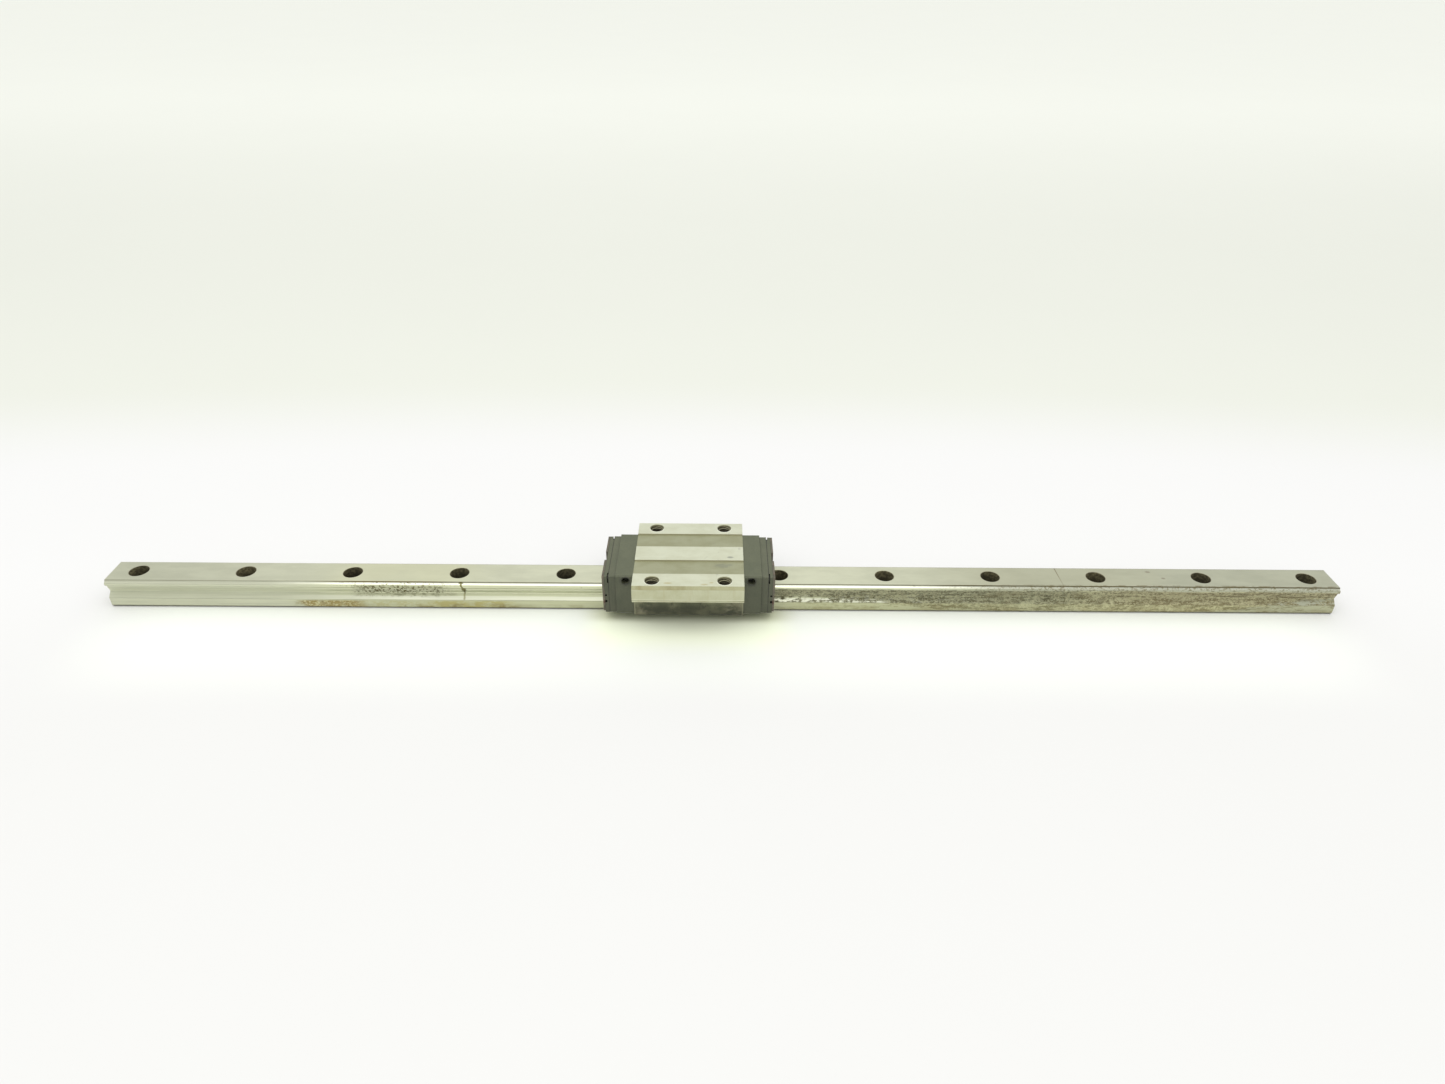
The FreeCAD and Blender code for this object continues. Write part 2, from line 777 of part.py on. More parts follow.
def build_end_cap(end):
    """Cap with the ball turnarounds, side ports and end port."""
    body = carriage_body("end_cap_" + end, end)
    u_plate(body, cap_start, dim.cap_length, dim.cap_half, dim.cap_top, dim.cap_bottom,
            dim.cap_edge, dim.frame_gap)
    bore = dim.ball_bore_radius
    for circuit in CIRCUITS:
        radius, at = turnaround(circuit)
        profile = [
            at(0, -bore),
            at(radius, -bore),
            ("arc", *at(radius, 0), "ccw"),
            at(radius, bore),
            at(0, bore),
        ]
        axis = [at(0, -(bore + PAST)), at(0, bore + PAST)]
        sketch = outline_sketch(body, "YZ_Plane", profile, offset=cap_start, axis=axis)
        groove(body, sketch, angle=180.0, reverse=True)
    drill(body, cap_start - PAST, dim.cap_length + 2 * PAST, screw_holes(dim.screw_gap))

    # side ports, with a pointed floor and a chamfered mouth
    x, port, mouth = cap_start + dim.side_port_x, dim.port_radius, dim.port_break
    for s in (1, -1):
        face = s * dim.cap_half
        floor = s * (dim.cap_half - dim.side_port_depth)
        point, outside = floor - s * port * 0.5, face + s * PAST
        profile = [
            (x, point),
            (x + port, floor),
            (x + port, face - s * mouth),
            (x + port + mouth + PAST, outside),
            (x, outside),
        ]
        groove(body, outline_sketch(body, "XY_Plane", profile, offset=dim.side_port_z,
                                    axis=[(x, point), (x, outside)]))
    drill(body, cap_start + dim.port_start, dim.cap_length, [(0, dim.nipple_height, port)])
    return body


def build_guides(end):
    """The inner walls of the four turnarounds."""
    bore = dim.ball_bore_radius
    half = bore - dim.guide_gap
    guides = []
    for circuit in CIRCUITS:
        radius, at = turnaround(circuit)
        rim = radius - root(bore * bore - half * half)
        profile = [
            at(0, -half),
            at(-rim, -half),
            ("arc", *at(-radius, 0), "ccw"),
            at(-rim, half),
            at(0, half),
        ]
        axis = [at(0, -(bore + PAST)), at(0, bore + PAST)]
        guide = carriage_body("guide_%s_%s" % (circuit[0], end), end)
        sketch = outline_sketch(guide, "YZ_Plane", profile, offset=cap_start, axis=axis)
        feature = turn(guide, "Revolution", sketch, angle=180.0)
        doc.recompute()
        # a half turn that went into the block is sent outwards instead
        reach = abs(guide.Shape.BoundBox.Center.x - VALUES["carriage_rest_x"])
        if reach < cap_start.value:
            feature.Reversed = True
            doc.recompute()
        guides.append(guide)
    return group("return_guides_" + end, guides)


def build_seal(label, end, start, length, top, edge, gap):
    """A frame, the wiping lip on its outer side, and the holes through both."""
    body = carriage_body(label + end, end)
    frame_length = length - dim.lip_thick
    for x, thick, rail_gap in (
        (start, frame_length, dim.frame_gap),
        (start + frame_length, dim.lip_thick, dim.lip_gap),
    ):
        u_plate(body, x, thick, dim.stack_half, top, dim.stack_bottom, edge, rail_gap)
    nipple = (0, dim.nipple_height, dim.nipple_radius)
    drill(body, start - PAST, length + 2 * PAST, screw_holes(gap) + [nipple])
    return body


def build_inner_seal(end):
    return build_seal("inner_seal_", end, inner_start, dim.inner_length, dim.inner_top,
                      dim.inner_edge, dim.screw_gap)


def build_outer_seal(end):
    body = build_seal("outer_seal_", end, outer_start, dim.outer_length, dim.outer_top,
                      dim.outer_edge, dim.screw_gap_outer)
    half, top = dim.stack_half, dim.outer_top
    outside = half + PAST
    # slots round the upper corners, in the face against the inner seal
    slot_depth = 1.0
    slot = [
        (half - 4.8, top - 1.0),
        (half - 1.9, top - 1.0),
        (half - 1.9, top - 5.6),
        (outside, top - 5.6),
        (outside, top + PAST),
        (half - 4.8, top + PAST),
    ]
    slots = [to_side(slot, s) for s in (1, -1)]
    sketch = outline_sketch(body, "YZ_Plane", *slots, offset=outer_start - PAST)
    pocket(body, sketch, slot_depth + PAST, reverse=True)
    # clip pockets low on each side of the outer face: depth in Y, lower and upper Z
    clip_depth = 1.6
    clips = []
    for s in (1, -1):
        for inset, low, high in ((2.2, 16.6, 18.6), (1.9, 22.2, 23.6)):
            clip = [(half - inset, low), (outside, low), (outside, high), (half - inset, high)]
            clips.append(to_side(clip, s))
    sketch = outline_sketch(body, "YZ_Plane", *clips, offset=plate_start + PAST)
    pocket(body, sketch, clip_depth + PAST)
    return body


def build_scraper(end):
    """Steel plate, open at the top centre for a grease nipple."""
    body = carriage_body("scraper_plate_" + end, end)
    half, nipple = dim.stack_half, dim.nipple_height
    top, low = dim.outer_top - 0.05, dim.stack_bottom + 0.3
    section = [
        (3.2, nipple - 4.6),
        (5.6, nipple - 2.2),
        (5.6, top),
        (half - 0.5, top),
        (half, top - 0.5),
        (half, 18.4),
        (half - 1.1, 17.9),
        (half - 1.1, 16.2),
        (half - 0.5, 15.7),
        (half - 0.5, low + 1.4),
        (half - 1.9, low),
    ] + walked_back(rail_side(dim.plate_gap, low))
    sketch = outline_sketch(body, "YZ_Plane", with_mirror(section), offset=plate_start)
    pad(body, sketch, dim.plate_length)
    # countersunk screw holes
    start, stop = plate_start - PAST, plate_end + PAST
    for y, z in SCREWS:
        profile = [
            (start, y),
            (start, y + dim.sink_small),
            (plate_start, y + dim.sink_small),
            (plate_end, y + dim.sink_large),
            (stop, y + dim.sink_large),
            (stop, y),
        ]
        groove(body, outline_sketch(body, "XY_Plane", profile, offset=z,
                                    axis=[(start, y), (stop, y)]))
    return body


def build_cap_screws(end):
    """Flat-head screws with hexagon sockets."""
    head, shank, point = dim.screw_head_radius, dim.screw_radius, dim.screw_point
    face = plate_end - dim.screw_sink
    tip = face - dim.screw_length
    corner = dim.screw_socket / 2 * HEX_CORNER
    screws = []
    for i, (y, z) in enumerate(SCREWS, start=1):
        screw = carriage_body("cap_screw_%s_%d" % (end, i), end)
        profile = [
            (tip, y),
            (tip, y + shank - point),
            (tip + point, y + shank),
            (face - (head - shank), y + shank),
            (face, y + head),
            (face, y),
        ]
        sketch = outline_sketch(
            screw, "XY_Plane", profile, offset=z, axis=[(tip, y), (face, y)])
        turn(screw, "Revolution", sketch)
        socket = outline_sketch(screw, "YZ_Plane", hexagon(y, z, corner), offset=face)
        pocket(screw, socket, dim.screw_socket_depth)
        screws.append(screw)
    return group("cap_screws_" + end, screws)


def build_grease_plug(end):
    """Socket set screw in the end port."""
    body = carriage_body("grease_plug_" + end, end)
    face = inner_start - dim.plug_sink
    height = dim.nipple_height
    rod = [(0, height, dim.port_radius - 0.05)]
    pad(body, circle_sketch(body, rod, offset=face - dim.plug_length), dim.plug_length)
    socket = hexagon(0, height, dim.plug_socket_corner)
    pocket(body, outline_sketch(body, "YZ_Plane", socket, offset=face), dim.plug_socket_depth)
    return body


# ---------------------------------------------------------------- build, check and export
pieces = [build_rail(), build_block()]
pieces += [build_balls(circuit) for circuit in CIRCUITS]
pieces += [build_tubes(where) for where, _ in SIDES]
pieces += build_bars()
for end in ("left", "right"):
    pieces += [
        build_end_cap(end),
        build_guides(end),
        build_inner_seal(end),
        build_outer_seal(end),
        build_scraper(end),
        build_cap_screws(end),
        build_grease_plug(end),
    ]
doc.recompute()

bad = [o.Name for o in doc.Objects if any(x in ("Invalid", "Error") for x in o.State)]
assert not bad, "failed objects: %s" % bad
for piece in pieces:
    assert not piece.Shape.isNull() and piece.Shape.isValid(), "bad shape: " + piece.Label

os.makedirs("parts", exist_ok=True)
for piece in pieces:
    piece.Shape.exportStep(os.path.join("parts", piece.Label + ".step"))
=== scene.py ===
# A linear guide rail with its carriage: the looks, the flange threads and the studio.
# The rail lies along X with its foot on the floor at z = 0; the carriage rides at CARRIAGE_X.
# The camera stands on the -Y side, so +X is on its right. Dimensions are in millimetres,
# except in the stage section, which is in metres.
import json
import math
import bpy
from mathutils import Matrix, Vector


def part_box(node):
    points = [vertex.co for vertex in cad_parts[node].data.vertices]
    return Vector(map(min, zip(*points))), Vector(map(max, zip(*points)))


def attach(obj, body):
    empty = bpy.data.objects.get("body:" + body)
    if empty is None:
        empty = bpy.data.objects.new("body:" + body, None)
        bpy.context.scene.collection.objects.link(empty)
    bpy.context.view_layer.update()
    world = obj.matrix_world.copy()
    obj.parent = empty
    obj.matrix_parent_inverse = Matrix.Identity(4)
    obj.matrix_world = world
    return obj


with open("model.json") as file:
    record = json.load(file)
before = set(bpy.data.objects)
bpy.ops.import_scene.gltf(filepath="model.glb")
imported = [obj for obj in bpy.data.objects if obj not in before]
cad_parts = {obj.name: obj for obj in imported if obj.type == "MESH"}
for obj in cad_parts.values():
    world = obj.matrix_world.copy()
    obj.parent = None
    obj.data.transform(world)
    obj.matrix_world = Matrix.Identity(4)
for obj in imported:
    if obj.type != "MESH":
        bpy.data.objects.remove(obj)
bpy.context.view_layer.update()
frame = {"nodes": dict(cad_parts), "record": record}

from types import SimpleNamespace

import bmesh
import bpy
from mathutils import Matrix, Vector

MM_PER_M = 1000.0
BLOCK_LOW, BLOCK_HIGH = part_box("carriage_block")
CARRIAGE_X = (BLOCK_LOW[0] + BLOCK_HIGH[0]) / 2 * MM_PER_M

BOLT_PITCH = 80.0  # between the rail's bolt holes, the first ones half a pitch from x = 0
FLANGE_HOLE_X = 26.0  # threaded holes, from the carriage centre
FLANGE_HOLE_Y = 36.0
FLANGE_HOLE_RADIUS = 5.0


# ------------------------------------------------------------------ node graph helpers
class Field:
    """A number or colour in a node tree. Arithmetic on it adds nodes; | is the greater of two."""

    def __init__(self, graph, socket):
        self.graph = graph
        self.socket = socket

    def __add__(self, other):
        return self.graph.math("ADD", self, other)

    def __radd__(self, other):
        return self.graph.math("ADD", other, self)

    def __sub__(self, other):
        return self.graph.math("SUBTRACT", self, other)

    def __rsub__(self, other):
        return self.graph.math("SUBTRACT", other, self)

    def __mul__(self, other):
        return self.graph.math("MULTIPLY", self, other)

    def __truediv__(self, other):
        return self.graph.math("DIVIDE", self, other)

    def __or__(self, other):
        return self.graph.math("MAXIMUM", self, other)

    def __abs__(self):
        return self.graph.math("ABSOLUTE", self)

    def remap(self, low, high, to_low=0.0, to_high=1.0, interpolation="SMOOTHSTEP"):
        inputs = {
            "Value": self, "From Min": low, "From Max": high, "To Min": to_low, "To Max": to_high,
        }
        return self.graph.field("MapRange", inputs, interpolation_type=interpolation)

    def step(self, start, end):
        """Rises smoothly from 0 at start to 1 at end; start may be the larger."""
        if start <= end:
            return self.remap(start, end)
        return 1.0 - self.remap(end, start)

    def band(self, low, high, soft):
        """1 between low and high, each limit blurred by soft on both sides."""
        return self.step(low - soft, low + soft) * self.step(high + soft, high - soft)

    def lerp(self, at_zero, at_one):
        inputs = {0: self, 2: at_zero, 3: at_one}
        return self.graph.field("Mix", inputs, data_type="FLOAT")


class Graph:
    """A node tree, emptied and then built up with Fields."""

    def __init__(self, tree):
        self.tree = tree
        tree.nodes.clear()

    def put(self, socket, value):
        if isinstance(value, Field):
            self.tree.links.new(value.socket, socket)
        elif isinstance(value, tuple) and len(value) == 3 and len(socket.default_value) == 4:
            socket.default_value = (*value, 1.0)
        else:
            socket.default_value = value

    def node(self, kind, inputs=None, **settings):
        node = self.tree.nodes.new("ShaderNode" + kind)
        for key, value in settings.items():
            setattr(node, key, value)
        for key, value in (inputs or {}).items():
            self.put(node.inputs[key], value)
        return node

    def field(self, kind, inputs=None, output=0, **settings):
        return Field(self, self.node(kind, inputs, **settings).outputs[output])

    def split(self, vector):
        return [Field(self, out) for out in self.node("SeparateXYZ", {0: vector}).outputs]

    def math(self, operation, *values):
        return self.field("Math", dict(enumerate(values)), operation=operation)

    def hypot(self, a, b):
        return self.math("SQRT", a * a + b * b)


class Material(Graph):
    """A material built from maths on the object's own coordinates, in millimetres.

    A mask runs from 0 to 1; a mask times a number is a coat laid at that strength.
    """

    def __init__(self, name):
        self.material = bpy.data.materials.new(name)
        self.material.use_nodes = True
        super().__init__(self.material.node_tree)
        self.bsdf = self.node("BsdfPrincipled")
        self.node("OutputMaterial", {0: Field(self, self.bsdf.outputs[0])})
        self.coords = self.node("TexCoord")
        metres = Field(self, self.coords.outputs["Object"])
        self.position = self.gain(metres, MM_PER_M)

    def place(self):
        return self.split(self.position)

    def normal(self):
        return self.split(Field(self, self.coords.outputs["Normal"]))

    def gain(self, colour, factor):
        """The colour brightened by the factor."""
        return self.field("VectorMath", {0: colour, 3: factor}, operation="SCALE")

    def mix(self, mask, a, b):
        return self.field("Mix", {0: mask, 6: a, 7: b}, output=2, data_type="RGBA")

    def coats(self, base, *coats):
        """Lays (mask, colour) coats in turn; a number for colour is a gain on what is below."""
        for mask, colour in coats:
            if isinstance(colour, float):
                colour = self.gain(base, colour)
            base = self.mix(mask, base, colour)
        return base

    def stretched(self, stretch, shift):
        inputs = {0: self.position, 1: stretch, 2: shift}
        return self.field("VectorMath", inputs, operation="MULTIPLY_ADD")

    def noise(self, scale, stretch=(1, 1, 1), shift=(0, 0, 0), detail=4.0, rough=0.55, warp=0.0):
        return self.field("TexNoise", {
            "Vector": self.stretched(stretch, shift),
            "Scale": scale, "Detail": detail, "Roughness": rough, "Distortion": warp,
        })

    def cells(self, scale, shift):
        inputs = {"Vector": self.stretched((1, 1, 1), shift), "Scale": scale}
        return self.field("TexVoronoi", inputs, output="Distance")

    def spot(self, x, y, centre, radii, seed=0.0, ragged=0.35):
        """A soft, ragged-edged blot seen from above."""
        distance = self.hypot((x - centre[0]) / radii[0], (y - centre[1]) / radii[1])
        wobble = self.noise(scale=0.35, shift=(seed, seed, 0)) - 0.5
        return (distance + wobble * (ragged * 2)).step(1.0, 0.35)

    def bevel(self, radius):
        return self.field("Bevel", {"Radius": radius / MM_PER_M}, samples=4)

    def bump(self, parts, soft=0.0):
        """Lays (height, depth) pairs over a normal rounded at the edges by soft."""
        normal = self.bevel(soft) if soft else None
        for height, depth in parts:
            inputs = {"Strength": 1.0, "Distance": depth / MM_PER_M, "Height": height}
            if normal is not None:
                inputs["Normal"] = normal
            normal = self.field("Bump", inputs)
        self.put(self.bsdf.inputs["Normal"], normal)

    def finish(self, colour, rough, metal=0.0, specular=None):
        self.put(self.bsdf.inputs["Base Color"], colour)
        self.put(self.bsdf.inputs["Roughness"], rough)
        self.put(self.bsdf.inputs["Metallic"], metal)
        if specular is not None:
            self.put(self.bsdf.inputs["Specular IOR Level"], specular)
        return self.material


def srgb(*channels):
    """A colour given as it looks on screen, 0 to 255, as scene-linear numbers."""
    return tuple(
        c / 255 / 12.92 if c / 255 <= 0.04045 else ((c / 255 + 0.055) / 1.055) ** 2.4
        for c in channels
    )


# ------------------------------------------------------------------ rail steel
RAIL = SimpleNamespace(
    top=srgb(201, 203, 179),
    # painted highlight: the upper raceway's colour is raised to stand for its reflection
    race_highlight=srgb(236, 238, 220),
    groove=srgb(196, 199, 168),
    # painted reflection: a bright colour for the relief, whose down-facing faces would render dark
    relief_sheen=srgb(223, 226, 199),
    slope=srgb(180, 182, 162),
    slope_high=srgb(157, 160, 133),
    foot=srgb(182, 185, 154),
    dull=srgb(197, 200, 175),
    dull_race=srgb(182, 184, 163),
    rust_pale=srgb(170, 170, 135),
    rust_dark=srgb(92, 89, 56),
)


def rail_fields(g):
    """The masks and noises that the rail's layers share."""
    r = SimpleNamespace()
    r.x, r.y, r.z = g.place()
    normal_x, _, r.normal_z = g.normal()
    r.top = r.normal_z.step(0.8, 0.95) * r.z.step(22.5, 22.8)
    r.end = abs(normal_x).step(0.6, 0.85) * abs(r.x).step(459.0, 459.6)
    r.side = (1.0 - r.top) * (1.0 - r.end)
    r.tilt = r.normal_z.step(0.12, 0.45)
    r.wavy_x = r.x + (g.noise(scale=0.03, detail=3) - 0.5) * 60.0
    # polished where the carriage has run, dull and grey towards both ends
    r.polish = r.wavy_x.step(-340, -262) * r.wavy_x.step(110, 235).lerp(1.0, 0.2)
    r.grind = g.noise(scale=1.0, stretch=(0.03, 5.0, 5.0), detail=3, rough=0.6)
    r.cloud = g.noise(scale=0.035, stretch=(1.0, 2.5, 2.5), shift=(11, 0, 4), detail=5, rough=0.6)
    r.mottle = g.noise(scale=0.42, stretch=(0.62, 1, 1.25), shift=(5, 9, 2), detail=7, rough=0.72)
    r.grain = g.noise(scale=0.75, stretch=(0.8, 1, 1.1), shift=(31, 9, 2), detail=6, rough=0.7)
    r.flow = g.noise(scale=0.30, stretch=(0.16, 1, 1.6), shift=(12, 6, 1), detail=6, rough=0.68)
    r.blotch = g.noise(scale=0.05, stretch=(0.6, 1, 1.8), shift=(40, 2, 9), detail=4, rough=0.6)
    # millimetres by which the limits of the rust wander
    r.ragged = (r.mottle - 0.5) * 6.0 + (r.blotch - 0.5) * 8.0
    return r


def upper_slope(r):
    return r.tilt * r.z.step(19.0, 18.0)


def rail_bands(g, r):
    """Ground top and side bands, before any rust."""
    x, z, wavy_x, grind = r.x, r.z, r.wavy_x, r.grind
    tone = x.step(-430, -270).lerp(0.84, 1.0)
    tone *= wavy_x.step(-175, -120).lerp(1.0, 1.05)
    tone *= wavy_x.step(85, 225).lerp(1.0, 0.72)
    broad = g.noise(scale=1.0, stretch=(0.012, 1.2, 1.2), shift=(7, 3, 1), detail=4, rough=0.6)
    streak = g.noise(scale=1.0, stretch=(0.02, 0.8, 0.8), shift=(3, 17, 2), detail=4, rough=0.6)
    top_steel = g.coats(
        RAIL.top,
        (r.cloud.step(0.35, 0.66), 0.90),
        (grind.step(0.35, 0.75) * 0.16, g.gain(RAIL.top, 0.74)),
        (broad.step(0.45, 0.8) * 0.22, g.gain(RAIL.top, 0.84)),
        (wavy_x.band(-290, -190, soft=25) * 0.5, srgb(200, 200, 166)),
        (wavy_x.band(170, 320, soft=40) * 0.35, srgb(201, 200, 168)),
    )
    # the bands of the side, from the upper raceway down to the foot
    shiny = g.coats(
        RAIL.groove,
        # painted highlight on the upper raceway band
        (z.band(21.15, 22.45, soft=0.12), RAIL.race_highlight),
        (upper_slope(r), RAIL.slope_high),
        # painted reflection on the relief below the head
        (z.band(12.3, 16.4, soft=0.4), RAIL.relief_sheen),
        (r.tilt * z.step(10.5, 9.8), RAIL.slope),
        (z.step(8.3, 7.6), RAIL.foot),
    )
    dull = g.coats(
        RAIL.dull,
        (z.step(20.3, 21.2), RAIL.dull_race),
        (upper_slope(r), g.gain(RAIL.dull, 0.88)),
        (z.step(8.3, 7.6), g.gain(RAIL.dull, 0.94)),
    )
    side_steel = g.coats(
        g.mix(r.polish, dull, shiny),
        (streak.step(0.42, 0.66) * 0.30, 0.72),
        (grind.step(0.4, 0.7) * 0.12, 0.75),
    )
    side_steel = g.gain(side_steel, x.step(-430, -270).lerp(1.12, 1.0))
    return g.gain(g.mix(r.top, side_steel, top_steel), tone)


def rail_lines(g, r, steel):
    """Painted shade along the top's edge, drawn lines, and painted shade at the corners between the
    bands.
    """
    x, z = r.x, r.z

    def left_stretch():
        return x.band(-300, -212, soft=16)

    patchy = g.noise(scale=0.12, stretch=(0.4, 1, 1), shift=(3, 8, 0), detail=5, rough=0.7)
    # painted shade: a dark line along the top's edge, stronger and brownish where the rail is rusty
    edge = abs(r.y).band(11.66, 12.14, soft=0.12) * z.step(22.15, 22.35)
    edge *= patchy.lerp(0.55, 1.1)
    edge *= x.step(-330, -240).lerp(0.45, 1.0)
    edge *= (left_stretch() | x.step(140, 190)).lerp(0.9, 1.45)
    drawn = g.noise(scale=1.0, stretch=(0.004, 2.2, 2.2), shift=(0, 31, 5), detail=2)
    drawn = drawn.step(0.52, 0.62) * r.side
    # painted shade at the corners between the side's bands
    faint_rim = (z.band(20.4, 21.0, soft=0.2) | z.band(15.4, 16.2, soft=0.2)) * 0.5
    rim = z.band(18.3, 19.0, soft=0.15) | z.band(7.6, 8.1, soft=0.12) | faint_rim
    return g.coats(
        steel,
        (
            g.math("MINIMUM", edge * 0.95, 0.97),
            g.mix(left_stretch(), srgb(84, 78, 52), srgb(100, 84, 40)),
        ),
        (drawn * 0.16, 0.6),
        (rim * r.side * 0.5, 0.55),
    )


def rail_rust_masks(r, g):
    """Adds the heavy rust right of the carriage and the pitted stretch left of it."""
    x, z, ragged, side = r.x, r.z, r.ragged, r.side
    # the lower limit drops from the slope to the foot and lifts at the right end
    low = x.step(70, 190).lerp(9.8, 1.0)
    low = x.step(350, 458).lerp(low, 10.6)
    above = z + ragged - low
    heavy = above.step(-0.8, 1.6) * (z + ragged * 0.35).step(20.6, 19.2)
    heavy = heavy * x.step(24, 40) * side
    slope_specks = z.band(7.8, 11.0, soft=0.4) * x.step(28, 40) * side
    r.heavy = heavy | (slope_specks * (r.mottle * 0.6 + r.flow * 0.4).step(0.47, 0.54))
    raceway = (z + ragged * 0.3).band(12.2, 20.6, soft=0.8)
    pit = (x + ragged * 2.0).band(-275, -207, soft=8) * side
    pit *= raceway | (z.band(9.6, 12.6, soft=0.8) * 0.38)
    r.pit = (pit * (r.grain * 0.45 + r.mottle * 0.55).step(0.490, 0.53)) | (pit * 0.22)
    r.lone = g.cells(scale=0.09, shift=(3, 3, 3)).step(0.13, 0.05) * r.mottle.step(0.52, 0.6) * side


def rail_rust_colour(g, r):
    x, z = r.x, r.z
    fine = g.noise(scale=1.1, stretch=(0.7, 1, 1), shift=(1, 4, 7), detail=5, rough=0.7)
    patches = g.noise(scale=0.12, stretch=(0.7, 1, 1.2), shift=(9, 1, 1), detail=5)
    splash = g.noise(scale=0.20, stretch=(0.9, 1, 0.5), shift=(14, 3, 8), detail=6, rough=0.7)
    splash = x.band(205, 300, soft=14) * splash.step(0.52, 0.60)
    bare = g.noise(scale=0.5, stretch=(0.45, 1, 1), shift=(4, 14, 3), detail=6, rough=0.7)
    bare = z.band(7.8, 12.4, soft=0.5) * bare.step(0.54, 0.62) * x.step(260, 60)
    high = z.step(11.4, 12.6)
    swell = x.band(150, 262, soft=30).lerp(x.step(120, 280).lerp(1.02, 1.16), 0.91)
    pale = g.gain(g.coats(RAIL.rust_pale, (high, 0.80)), swell)
    dark = g.gain(g.coats(RAIL.rust_dark, (high, 0.66)), swell)
    rust = g.coats(
        pale,
        ((r.mottle * 0.55 + r.flow * 0.45).step(0.455, 0.555), dark),
        (fine.step(0.51, 0.60) * 0.7, g.gain(pale, 1.35)),
        (r.grain.step(0.52, 0.59) * 0.65, g.gain(dark, 0.75)),
        (patches.step(0.54, 0.68) * 0.5, g.gain(dark, 0.75)),
        (r.blotch.step(0.5, 0.72) * 0.4, srgb(128, 120, 84)),
        (splash * 0.5, g.gain(pale, 1.3)),
        (bare * 0.62, g.gain(RAIL.slope, 1.1)),
    )
    rust = g.gain(rust, upper_slope(r).lerp(1.0, 0.80))
    return g.mix(x.step(230, 340) * 0.16, rust, srgb(170, 146, 104))


def rail_rust(g, r, steel):
    x, z, side = r.x, r.z, r.side
    rust = rail_rust_colour(g, r)
    warm_foot = x.step(30, 60) * z.step(8.2, 7.4) * side
    fleck = (r.mottle * 0.5 + r.flow * 0.5).step(0.50, 0.57)
    # specks that climb on to the bright raceway edge
    bite = (r.mottle * 0.4 + r.grain * 0.6 - x.step(150, 260) * -0.02).step(0.52, 0.58)
    bite = bite * z.step(19.0, 20.4) * side
    bite *= x.step(110, 260) | x.band(-285, -205, soft=14)
    return g.coats(
        steel,
        (r.heavy * 0.94, rust),
        (warm_foot * 0.35, srgb(168, 168, 126)),
        (warm_foot * fleck * x.step(60, 170).lerp(0.25, 0.6), srgb(104, 98, 62)),
        ((r.pit * 0.97) | (r.lone * 0.6), srgb(80, 74, 32)),
        (bite * 0.8, srgb(104, 96, 64)),
    )


def rail_top_marks(g, r, steel):
    x, y, top = r.x, r.y, r.top
    freckles = g.noise(scale=0.5, shift=(2, 2, 8), detail=5, rough=0.75)
    freckles = top * freckles.step(0.67, 0.75)
    freckles *= x.step(60, 200) | x.band(-255, -170, soft=20)
    grime = g.noise(scale=0.30, stretch=(0.35, 1, 1), shift=(5, 2, 8), detail=6, rough=0.7)
    grime = top * x.step(140, 300) * abs(y + 11.4).step(1.5, 0.4) * grime.step(0.47, 0.56)
    smear = g.noise(scale=0.05, stretch=(0.7, 1, 1), shift=(60, 1, 1), detail=5)
    smear = top * smear.step(0.5, 0.8)
    dots = g.spot(x, y, centre=(322, 7.5), radii=(2.6, 1.6), seed=3)
    dots |= g.spot(x, y, centre=(331, -1.0), radii=(2.0, 1.4), seed=5)
    return g.coats(
        steel,
        (freckles * 0.5, srgb(146, 136, 104)),
        (grime * 0.75, srgb(112, 100, 68)),
        (smear * 0.25, g.gain(RAIL.top, 0.80)),
        (dots * top * 0.6, srgb(120, 108, 92)),
    )


def rail_foot_stains(g, r, steel):
    """Orange stain along the foot and its fainter tails towards +X."""
    x, z, side = r.x, r.z, r.side
    foot = (z + r.ragged * 0.2).band(0.4, 7.0, soft=0.8)
    patches = g.noise(scale=0.16, stretch=(0.6, 1, 1), shift=(0, 6, 6), detail=6, rough=0.7)
    stain = (x + r.ragged * 1.5).band(-318, -272, soft=7) * foot * side
    r.stain = stain * patches.step(0.34, 0.48)
    tail = g.noise(scale=0.22, stretch=(0.5, 1, 1), shift=(8, 6, 6), detail=6, rough=0.7)
    tail = r.wavy_x.band(-290, -215, soft=20) * foot * side * tail.step(0.45, 0.58)
    far_tail = g.noise(scale=0.20, stretch=(0.45, 1, 1), shift=(2, 9, 6), detail=6, rough=0.7)
    far_tail = far_tail.step(0.42, 0.56).lerp(0.25, 0.8)
    far_tail = (x + r.ragged * 1.5).band(-226, -160, soft=7) * foot * side * far_tail
    hem = g.noise(scale=0.12, stretch=(0.5, 1, 1), shift=(3, 1, 6), detail=5)
    hem = z.step(5.6, 3.0) * hem.step(0.48, 0.60) * side
    hem *= x.band(-230, -155, soft=10) | (x.step(-300, -100) * 0.35)
    return g.coats(
        steel,
        (r.stain * 0.92, srgb(136, 120, 62)),
        (r.stain * r.grain.step(0.50, 0.57) * 0.8, srgb(198, 196, 156)),
        (r.stain * r.mottle.step(0.52, 0.60) * 0.75, srgb(106, 92, 46)),
        (tail * 0.45, srgb(162, 154, 104)),
        (far_tail, srgb(160, 152, 96)),
        (hem * 0.75, srgb(120, 108, 62)),
    )


